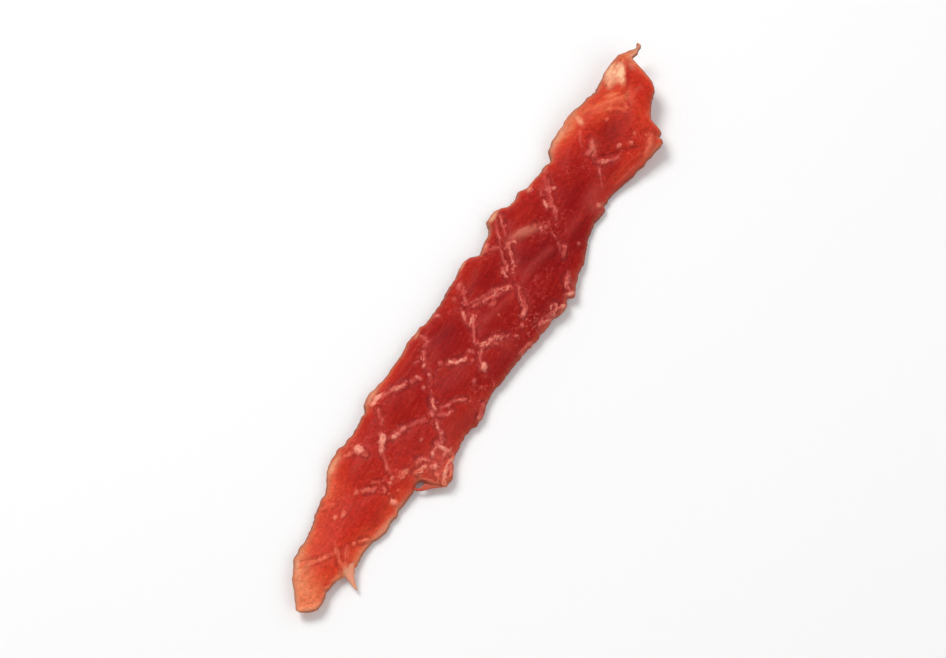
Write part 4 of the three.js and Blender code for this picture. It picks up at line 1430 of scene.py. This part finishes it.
    def seen(self, site: Site, height: Array) -> Site:
        """Finds where the camera sees raised points on the level at which the marks were placed.

        The shift is the height over that level times the cotangent of the camera's elevation, away from it.

        Args:
            site: Places on the strip.
            height: Heights over the table.

        Returns:
            The places on the level, with their distances from the rims unchanged.
        """
        over = height - self.reading_level - self.reading_lift.at(site.x)
        shift = over / math.tan(math.radians(VIEW_ELEVATION))
        azimuth = math.radians(VIEW_AZIMUTH)
        x, y = site.x - shift * math.sin(azimuth), site.y + shift * math.cos(azimuth)
        return Site(x, y, site.from_left, site.from_right)

    def imprinted(self, seen: Site) -> Imprint:
        """Presses the rack in: cells bulging between the wires, broken welts along them, and the marks.

        Args:
            seen: Places as the camera sees them.

        Returns:
            The relief and the tones.
        """
        x, y = seen.x, seen.y
        welt, bulge, near = np.zeros(y.shape), np.ones(y.shape), np.zeros(y.shape)
        for wires in (self.rising, self.falling):
            offset = wires.offset(x, y)
            noise = Noise(wires.seed + wires.welt_seeds)
            patchy = noise.patches(x, y, self.welt_pitch, 2, *self.welt_patches)
            welt = np.maximum(welt, patchy * hump(offset, self.welt_width))
            near = np.maximum(near, hump(offset, self.wire_reach * self.welt_width))
            bulge = bulge * (1.0 - hump(offset, self.cell_shoulder))
        strength = self.imprint.at(x)
        relief = strength * (self.welt_height * welt + self.cell_bulge * bulge)
        return Imprint(relief, *self.stamp_marks(x, y), strength * near, strength * bulge)

    def stamp_marks(self, x: Array, y: Array) -> tuple[Array, Array, Array]:
        """Stamps every mark: the highest one counts, and the deepest groove is taken off it.

        Args:
            x: Places along the strip, one for each y.
            y: Places across.

        Returns:
            Heights in mm, and pallor and shade from 0 to 1.
        """
        raised, sunk, pallor, shade = (np.zeros(y.shape) for _ in range(4))
        for number, mark in enumerate(self.marks):
            near = mark.near(x, y)
            height, pale, dark = mark.stamp(x[near], y[near], Seed.MARKS + number)
            raised[near] = np.maximum(raised[near], height)
            sunk[near] = np.minimum(sunk[near], height)
            pallor[near] = np.maximum(pallor[near], pale)
            shade[near] = np.maximum(shade[near], dark)
        return raised + sunk, unit(pallor), unit(shade)

    def fine_relief(self, site: Site, near: Array) -> Array:
        """Adds grain along the muscle everywhere, and a crumbled crust in patches near the wires.

        Args:
            site: Places on the strip.
            near: How near the wires each place is.

        Returns:
            Heights in mm.
        """
        x, y = site.x, site.y
        grain = Noise(Seed.GRAIN).at(x / self.grain_length, y / self.grain_pitch)
        leaning = y + self.strand_lean * x
        strands = Noise(Seed.STRANDS).layers(x / self.strand_length, leaning, self.strand_pitch, 3)
        crumbs = Noise(Seed.CRUMBS).layers(x, y, self.crumb_pitch, 2)
        return self.grain_height * grain + self.strand_height * strands + self.crumb_height * near * crumbs

    def hollows(self, site: Site, full: Array) -> Array:
        """Hollows the underside in patches and furrows, none at the rims.

        Args:
            site: Places on the strip.
            full: The wedge's share.

        Returns:
            Heights in mm by which the underside is drawn up.
        """
        x, y = site.x, site.y
        leaning = y - self.strand_lean * x
        patches = Noise(Seed.HOLLOWS).patches(x, y, self.hollow_pitch, 3, *self.hollow_patches)
        along = x / self.furrow_length
        furrows = Noise(Seed.STRANDS).patches(along, leaning, self.furrow_pitch, 3, *self.furrow_patches)
        return full * (self.hollow_depth * patches + self.furrow_depth * furrows)

    def surface(self) -> Shell:
        """Works out the strip on a grid of stations by ring points: top is underside + thickness + relief.

        Returns:
            The body's shell with its traits.
        """
        x = self.station_places()[:, None]
        share, on_top = self.ring_shares()
        middle, half = self.span(x)
        y = middle + half * share
        site = Site(x, y, self.left.distance(x, y), self.right.distance(x, y))
        thickness, full = self.meat(site)
        under = self.underside(site)
        seen = self.seen(site, under + thickness)
        imprint = self.imprinted(seen)
        inner = ease(site.inward(), 0.0, self.marks_inset)
        relief = full * (imprint.wires + self.fine_relief(site, imprint.near)) + inner * imprint.marks
        drawn_up = np.minimum(self.hollows(site, full), self.hollow_most * thickness)
        z = under + np.where(on_top, thickness + relief, drawn_up)
        rings = np.stack([np.broadcast_to(x, y.shape), y, z], axis=-1)
        looks = self.complexion
        traits = looks.tissue(seen, imprint, on_top) | looks.rims(site, seen, on_top, on_top | (share == 1.0))
        return loft(rings, traits | {
            "thin": looks.thinness(seen),
            "grit": looks.grit.at(x) * (1.0 - looks.cell_smoothness * imprint.cell),
            "shade": imprint.shade * on_top,
        })

    def build(self) -> bpy.types.Object:
        """Makes the strip with its wisps as one object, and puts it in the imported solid's place.

        Returns:
            The finished object, still without a material.
        """
        shell = join([self.surface()] + [wisp.surface() for wisp in self.wisps])
        piece = make_object("dried_duck_strip", shell)
        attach(piece, "root")
        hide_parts("duck_strip")
        triangles = sum(len(face) * (face.shape[1] - 2) for face in shell.faces)
        log.info("dried_duck_strip: %d points, %d triangles", len(shell.points), triangles)
        return piece

    def dress(self, piece: bpy.types.Object, finish: "DriedMeat") -> None:
        """Gives the strip its one finish."""
        piece.data.materials.append(finish.material("dried_meat"))


class Term:
    """A shader socket that takes part in Python arithmetic, each operator adding a Math node."""

    def __init__(self, nodes: "NodeMaker", socket: bpy.types.NodeSocket) -> None:
        """Keeps the socket and the maker that it came from."""
        self.nodes = nodes
        self.socket = socket

    def math(self, operation: str, first: Any, second: Any) -> "Term":
        """Adds one Math node for two values or terms."""
        return self.nodes.make("ShaderNodeMath", {"operation": operation}, {0: first, 1: second})[0]

    def __add__(self, other: Any) -> "Term":
        """Returns the sum."""
        return self.math("ADD", self, other)

    __radd__ = __add__

    def __sub__(self, other: Any) -> "Term":
        """Returns the difference."""
        return self.math("SUBTRACT", self, other)

    def __rsub__(self, other: Any) -> "Term":
        """Returns the difference from a number."""
        return self.math("SUBTRACT", other, self)

    def __mul__(self, other: Any) -> "Term":
        """Returns the product."""
        return self.math("MULTIPLY", self, other)

    __rmul__ = __mul__

    def most(self, other: Any) -> "Term":
        """Returns the greater of the two."""
        return self.math("MAXIMUM", self, other)

    def least(self, other: Any) -> "Term":
        """Returns the lesser of the two."""
        return self.math("MINIMUM", self, other)

    def eased(self, low: float, high: float) -> "Term":
        """Returns 0 below low and 1 above high, smooth between."""
        settings = {"interpolation_type": "SMOOTHSTEP"}
        return self.nodes.make("ShaderNodeMapRange", settings, {0: self, 1: low, 2: high})[0]


class NodeMaker:
    """Makes the nodes of one material."""

    def __init__(self, material: bpy.types.Material) -> None:
        """Clears the material's tree.

        Args:
            material: The material that gets the nodes.
        """
        material.use_nodes = True
        self.tree = material.node_tree
        self.tree.nodes.clear()

    def make(self, kind: str, settings: dict[str, Any], sockets: dict[Any, Any]) -> list[Term]:
        """Adds one node: its settings first, then the values and links of its sockets.

        Args:
            kind: The node's type name.
            settings: Attributes of the node; "stops" holds a ramp's places and colours.
            sockets: Values, vectors or terms by socket name or number.

        Returns:
            The node's outputs as terms.
        """
        node = self.tree.nodes.new(kind)
        for name, value in settings.items():
            if name == "stops":
                self.set_stops(node.color_ramp, value)
            else:
                setattr(node, name, value)
        for key, value in sockets.items():
            if isinstance(value, Term):
                self.tree.links.new(value.socket, node.inputs[key])
            else:
                node.inputs[key].default_value = value
        return [Term(self, output) for output in node.outputs]

    @staticmethod
    def set_stops(ramp: bpy.types.ColorRamp, stops: Sequence[tuple[float, Colour]]) -> None:
        """Sets a colour ramp's places and colours."""
        while len(ramp.elements) < len(stops):
            ramp.elements.new(1.0)
        for element, (place, colour) in zip(ramp.elements, stops):
            element.position = place
            element.color = linear(colour)

    def trait(self, name: str) -> Term:
        """Reads one of the piece's own point values."""
        return self.make("ShaderNodeAttribute", {"attribute_name": name}, {})[2]

    def noise(self, place: Term, grain: "Grain") -> Term:
        """Adds one noise texture with its own pitch along each axis.

        Args:
            place: Where it is wanted, in mm.
            grain: Its pitches and detail.

        Returns:
            The noise from 0 to 1.
        """
        scale = tuple(1.0 / value for value in grain.pitch)
        scaled = self.make("ShaderNodeVectorMath", {"operation": "MULTIPLY"}, {0: place, 1: scale})[0]
        sockets = {"Vector": scaled, "Scale": 1.0, "Detail": grain.detail, "Roughness": grain.roughness}
        return self.make("ShaderNodeTexNoise", {}, sockets)[0]

    def mix(self, factor: Any, first: Term | Colour, second: Term | Colour, blend: str = "MIX") -> Term:
        """Mixes two colours, each of them a term or a display colour.

        Args:
            factor: Share of the second colour.
            first: The first colour.
            second: The second colour.
            blend: How they are mixed.

        Returns:
            The mixed colour.
        """
        colours = [colour if isinstance(colour, Term) else linear(colour) for colour in (first, second)]
        settings = {"data_type": "RGBA", "blend_type": blend}
        return self.make("ShaderNodeMix", settings, {0: factor, 6: colours[0], 7: colours[1]})[2]

    def scaled(self, colour: Term, value: Term) -> Term:
        """Multiplies a colour by one value."""
        grey = self.make("ShaderNodeCombineColor", {}, {0: value, 1: value, 2: value})[0]
        return self.mix(1.0, colour, grey, "MULTIPLY")

    def finish(self, sockets: dict[str, Any]) -> None:
        """Ends the material in one surface shader with the given sockets."""
        shader = self.make("ShaderNodeBsdfPrincipled", {"subsurface_method": "RANDOM_WALK"}, sockets)[0]
        self.make("ShaderNodeOutputMaterial", {}, {"Surface": shader})


def linear(colour: Colour) -> tuple[float, float, float, float]:
    """Turns a display colour of 0 to 255 into linear values: c/12.92, or ((c + 0.055) / 1.055)^2.4.

    Args:
        colour: Red, green and blue on the display.

    Returns:
        Linear red, green and blue, and a full alpha.
    """
    shares = [value / 255.0 for value in colour]
    return (*(c / 12.92 if c <= 0.04045 else ((c + 0.055) / 1.055) ** 2.4 for c in shares), 1.0)


@dataclass(frozen=True)
class Grain:
    """One fine noise of the finish: its pitch along each axis in mm, its layers and their weight."""

    pitch: tuple[float, float, float]
    detail: float
    roughness: float


@dataclass(frozen=True)
class DriedMeat:
    """The finish of air-dried lean meat: deep red where thick, orange where thin, partly its own colour and
    partly painted glow of light coming through, pale where torn.
    """

    # From thick to thin: the meat's red, lightening with the painted glow of light through thin meat.
    ramp: tuple[tuple[float, Colour], ...] = (
        (0.0, (153, 20, 18)), (0.35, (186, 42, 28)), (0.6, (206, 70, 42)), (0.82, (218, 108, 70)),
        (1.0, (228, 136, 94)),
    )
    # Deep red of thick meat, also used for the painted shade of grooves, creases and rings.
    deep: Colour = (122, 10, 14)
    warm: Colour = (202, 48, 26)
    strand: Colour = (206, 70, 42)
    flesh: Colour = (198, 86, 78)
    thin_flesh: Colour = (230, 112, 86)
    torn: Colour = (236, 150, 128)
    dry: Colour = (208, 144, 116)
    # Dark brown of the rim line: dried meat, with painted shade where the rim turns down.
    edge: Colour = (122, 74, 57)
    cream: Colour = (250, 192, 150)

    # How the meat's colours, its painted glow and its painted shade mix: shares, ends of an ease, and a level
    # and swing for each noise.
    mottle_thinness: float = 0.2
    thick_edges: Pair = (0.2, 0.7)
    deep_share: float = 0.75
    deep_mottle: Pair = (0.55, 0.9)
    warm_share: float = 0.6
    warm_edges: Pair = (0.3, 0.8)
    fibre_edges: Pair = (0.0, 0.2)
    strand_share: float = 0.2
    strand_hidden: float = 0.7
    gap_share: float = 0.32
    shade_share: float = 0.8
    edge_share: float = 0.72

    # How the grain and the marks' colours mix, in the same terms.
    speck_grain: Pair = (0.86, 0.04)
    clump_grain: Pair = (0.36, 0.4)
    crumb_share: float = 0.56
    crumb_mix: Pair = (0.7, 0.3)
    crumb_edges: Pair = (0.5, 0.66)
    torn_specks: Pair = (0.66, 0.68)
    flesh_edges: Pair = (0.12, 0.5)
    cream_specks: Pair = (0.6, 0.8)
    dry_specks: Pair = (0.5, 0.7)

    # The noises, the turn of all but the fibres' in radians, and the bumps in mm.
    grain_turn: tuple[float, float, float] = (0.5, 0.35, 0.7)
    fibre: Grain = Grain((3.4, 0.55, 0.9), 4.0, 0.62)
    speck: Grain = Grain((0.5, 0.42, 0.46), 3.0, 0.65)
    clump: Grain = Grain((0.9, 0.75, 0.8), 3.0, 0.6)
    mottle: Grain = Grain((2.6, 1.7, 2.0), 3.0, 0.55)
    fibre_bump: float = 0.016
    clump_bump: float = 0.02
    speck_bump: float = 0.012
    flake_bump: float = 0.05

    # The surface, and the light that it scatters, in metres.
    roughness: float = 0.48
    mottle_roughness: float = 0.14
    flake_roughness: float = 0.12
    subsurface: float = 0.25
    scatter_radius: tuple[float, float, float] = (1.0, 0.25, 0.15)
    scatter_scale: float = 0.0012
    specular: float = 0.05
    coat: float = 0.025
    coat_roughness: float = 0.3

    def material(self, name: str) -> bpy.types.Material:
        """Builds the material: a colour and a roughness from the traits and fine noises, and one bump.

        The thin coat fades where the meat is deep.

        Args:
            name: Name of the material.

        Returns:
            The material.
        """
        material = bpy.data.materials.new(name)
        nodes = NodeMaker(material)
        place = nodes.make("ShaderNodeTexCoord", {}, {})[3]
        per_metre = {0: place, "Scale": 1.0 / MILLIMETRE}
        place = nodes.make("ShaderNodeVectorMath", {"operation": "SCALE"}, per_metre)[0]
        turned_place = nodes.make("ShaderNodeMapping", {}, {"Vector": place, "Rotation": self.grain_turn})[0]
        fibre = nodes.noise(place, self.fibre)
        speck, clump, mottle = (
            nodes.noise(turned_place, grain) for grain in (self.speck, self.clump, self.mottle)
        )
        grit, flaky = nodes.trait("grit"), nodes.trait("crust") + nodes.trait("pale")
        rough = self.roughness + self.mottle_roughness * (mottle - 0.5) + self.flake_roughness * flaky
        fine = self.speck_bump * (1.0 + grit) + self.flake_bump * flaky
        height = self.fibre_bump * fibre + self.clump_bump * grit * clump + fine * speck
        bump = {"Strength": 1.0, "Distance": MILLIMETRE, "Height": height}
        nodes.finish({
            "Base Color": self.colour(nodes, fibre, speck, clump, mottle),
            "Roughness": rough,
            "Normal": nodes.make("ShaderNodeBump", {}, bump)[0],
            "Specular IOR Level": self.specular,
            "Subsurface Weight": self.subsurface,
            "Subsurface Radius": self.scatter_radius,
            "Subsurface Scale": self.scatter_scale,
            "Coat Weight": self.coat * (1.0 - nodes.trait("deep")),
            "Coat Roughness": self.coat_roughness,
        })
        return material

    def colour(self, nodes: NodeMaker, fibre: Term, speck: Term, clump: Term, mottle: Term) -> Term:
        """Mixes the colour: the meat with its grain, then the torn marks, cream, dry bands and the dark rim
        line, which is dried meat with painted shade.

        The torn marks go from the meat through flesh to the palest tissue, and their flesh is redder where the
        meat is thick. Their palest parts on the ridges hold a painted highlight as well as pale tissue.

        Args:
            nodes: Maker of the material's nodes.
            fibre: Noise along the muscle.
            speck: Fine noise.
            clump: Noise of the crust's clumps.
            mottle: Broad noise.

        Returns:
            The base colour.
        """
        thin = nodes.trait("thin") + self.mottle_thinness * (mottle - 0.5)
        colour = self.meat(nodes, thin, fibre, mottle)
        grit = nodes.trait("grit")
        coarse, clumpy = varied(grit, *self.speck_grain), varied(grit, *self.clump_grain)
        colour = nodes.scaled(colour, 1.0 + coarse * (speck - 0.5) + clumpy * (clump - 0.5))
        crumbly = (self.crumb_mix[0] * clump + self.crumb_mix[1] * speck).eased(*self.crumb_edges)
        crumbs = self.crumb_share * nodes.trait("crust") * crumbly
        torn = (nodes.trait("pale") * varied(speck, *self.torn_specks)).most(crumbs).least(1.0)
        flesh = nodes.mix(thin.eased(*self.flesh_edges), self.flesh, self.thin_flesh)
        colour = nodes.mix((2.0 * torn).least(1.0), colour, flesh)
        colour = nodes.mix((2.0 * torn - 1.0).most(0.0), colour, self.torn)
        for trait, specks, paint in (
            ("cream", self.cream_specks, self.cream),
            ("dry", self.dry_specks, self.dry),
        ):
            share = (nodes.trait(trait) * varied(speck, *specks)).least(1.0)
            colour = nodes.mix(share, colour, paint)
        # The dark rim line: dried meat, and painted shade where the rim turns down.
        return nodes.mix(self.edge_share * nodes.trait("edge"), colour, self.edge)

    def meat(self, nodes: NodeMaker, thin: Term, fibre: Term, mottle: Term) -> Term:
        """Mixes the meat's colour: the ramp over thinness with its painted glow, then deep and warm places, its
        fibres, and the painted shade of grooves, creases and rings.

        Args:
            nodes: Maker of the material's nodes.
            thin: How far light comes through.
            fibre: Noise along the muscle.
            mottle: Broad noise.

        Returns:
            The colour with the marks' painted shade, but without its grain and the marks' pallor.
        """
        colour = nodes.make("ShaderNodeValToRGB", {"stops": self.ramp}, {0: thin})[0]
        thick = 1.0 - thin.eased(*self.thick_edges)
        deep = (nodes.trait("deep") * thick * varied(mottle, *self.deep_mottle)).least(1.0)
        colour = nodes.mix(self.deep_share * deep, colour, self.deep)
        warm = self.warm_share * nodes.trait("warm") * (1.0 - thin.eased(*self.warm_edges))
        colour = nodes.mix(warm, colour, self.warm)
        strand = self.strand_share * (fibre - 0.5).eased(*self.fibre_edges)
        colour = nodes.mix(strand * (1.0 - self.strand_hidden * deep), colour, self.strand)
        gap = (0.5 - fibre).eased(*self.fibre_edges)
        colour = nodes.mix(self.gap_share * gap * thick, colour, self.deep)
        # Painted shade beside the lips, along the creases and round the beads, in the deep red.
        return nodes.mix(self.shade_share * nodes.trait("shade"), colour, self.deep)


@dataclass(frozen=True)
class SoftBox:
    """A square studio light: direction in plan and height in degrees, distance and side in metres, watts."""

    name: str
    azimuth: float
    elevation: float
    distance: float
    side: float
    watts: float

    def build(self, target: Vector) -> None:
        """Hangs the light where its direction and distance say, turned to the target.

        Args:
            target: What it shines at, in metres.
        """
        data = bpy.data.lights.new(self.name, "AREA")
        data.shape = "SQUARE"
        data.size = self.side
        data.energy = self.watts
        aim(self.name, data, target, self.azimuth, self.elevation, self.distance)


def aim(name: str, data: bpy.types.ID, target: Vector, azimuth: float, elevation: float,
        distance: float) -> bpy.types.Object:
    """Hangs a lamp or camera in a direction and at a distance from a target, and turns it towards it.

    Args:
        name: Name of the object.
        data: The lamp or camera.
        target: What it points at, in metres.
        azimuth: Its direction in plan from the target, in degrees.
        elevation: Its height over the target, in degrees.
        distance: How far away it is, in metres.

    Returns:
        The object, linked to the scene.
    """
    a, e = math.radians(azimuth), math.radians(elevation)
    away = Vector((math.sin(a) * math.cos(e), -math.cos(a) * math.cos(e), math.sin(e)))
    piece = bpy.data.objects.new(name, data)
    piece.location = target + away * distance
    piece.rotation_mode = "QUATERNION"
    piece.rotation_quaternion = (-away).to_track_quat("-Z", "Y")
    bpy.context.scene.collection.objects.link(piece)
    return piece


@dataclass(frozen=True)
class Studio:
    """The pale floor, the soft lights and the camera at the photograph's angle."""

    floor_side: float = 6.0
    floor_grey: float = 0.88
    floor_roughness: float = 0.9
    floor_specular: float = 0.1
    world_strength: float = 0.4
    lights: tuple[SoftBox, ...] = (
        SoftBox("key", 163.0, 54.0, 0.9, 0.4, 5.6),
        SoftBox("fill", -10.0, 42.0, 1.1, 0.8, 3.2),
        SoftBox("side", 65.0, 35.0, 1.1, 0.6, 1.0),
    )
    target: tuple[float, float, float] = (-0.002369, 0.00168, 0.002)
    distance: float = 0.4467
    lens: float = 85.0
    sensor_width: float = 36.0

    def build_floor(self) -> None:
        """Lays a square floor at the object's foot."""
        half = self.floor_side / 2.0
        mesh = bpy.data.meshes.new("floor")
        corners = [(-half, -half, 0.0), (half, -half, 0.0), (half, half, 0.0), (-half, half, 0.0)]
        mesh.from_pydata(corners, [], [(0, 1, 2, 3)])
        floor = bpy.data.objects.new("floor", mesh)
        bpy.context.scene.collection.objects.link(floor)
        material = bpy.data.materials.new("floor_paper")
        NodeMaker(material).finish({
            "Base Color": (self.floor_grey, self.floor_grey, self.floor_grey, 1.0),
            "Roughness": self.floor_roughness,
            "Specular IOR Level": self.floor_specular,
        })
        mesh.materials.append(material)

    def build_lights(self) -> None:
        """Hangs the soft boxes, and sets an even pale surround."""
        for light in self.lights:
            light.build(Vector(self.target))
        world = bpy.data.worlds.new("surround")
        world.use_nodes = True
        background = world.node_tree.nodes["Background"]
        background.inputs["Color"].default_value = (1.0, 1.0, 1.0, 1.0)
        background.inputs["Strength"].default_value = self.world_strength
        bpy.context.scene.world = world
        bpy.context.scene.view_settings.view_transform = "Standard"

    def build_camera(self) -> None:
        """Sets up the camera at the photograph's angle and its distance from the target."""
        data = bpy.data.cameras.new("camera")
        data.lens = self.lens
        data.sensor_width = self.sensor_width
        target = Vector(self.target)
        camera = aim("camera", data, target, VIEW_AZIMUTH, VIEW_ELEVATION, self.distance)
        bpy.context.scene.camera = camera

    def build(self) -> None:
        """Builds the floor, the lights and the camera."""
        self.build_floor()
        self.build_lights()
        self.build_camera()


def main() -> None:
    """Builds the studio and the strip in order, and reports each."""
    logging.basicConfig(level=logging.INFO, format="%(name)s: %(message)s")
    Studio().build()
    log.info("studio: floor, lights and camera")
    strip = DuckStrip()
    strip.dress(strip.build(), DriedMeat())


if __name__ == "__main__":
    main()
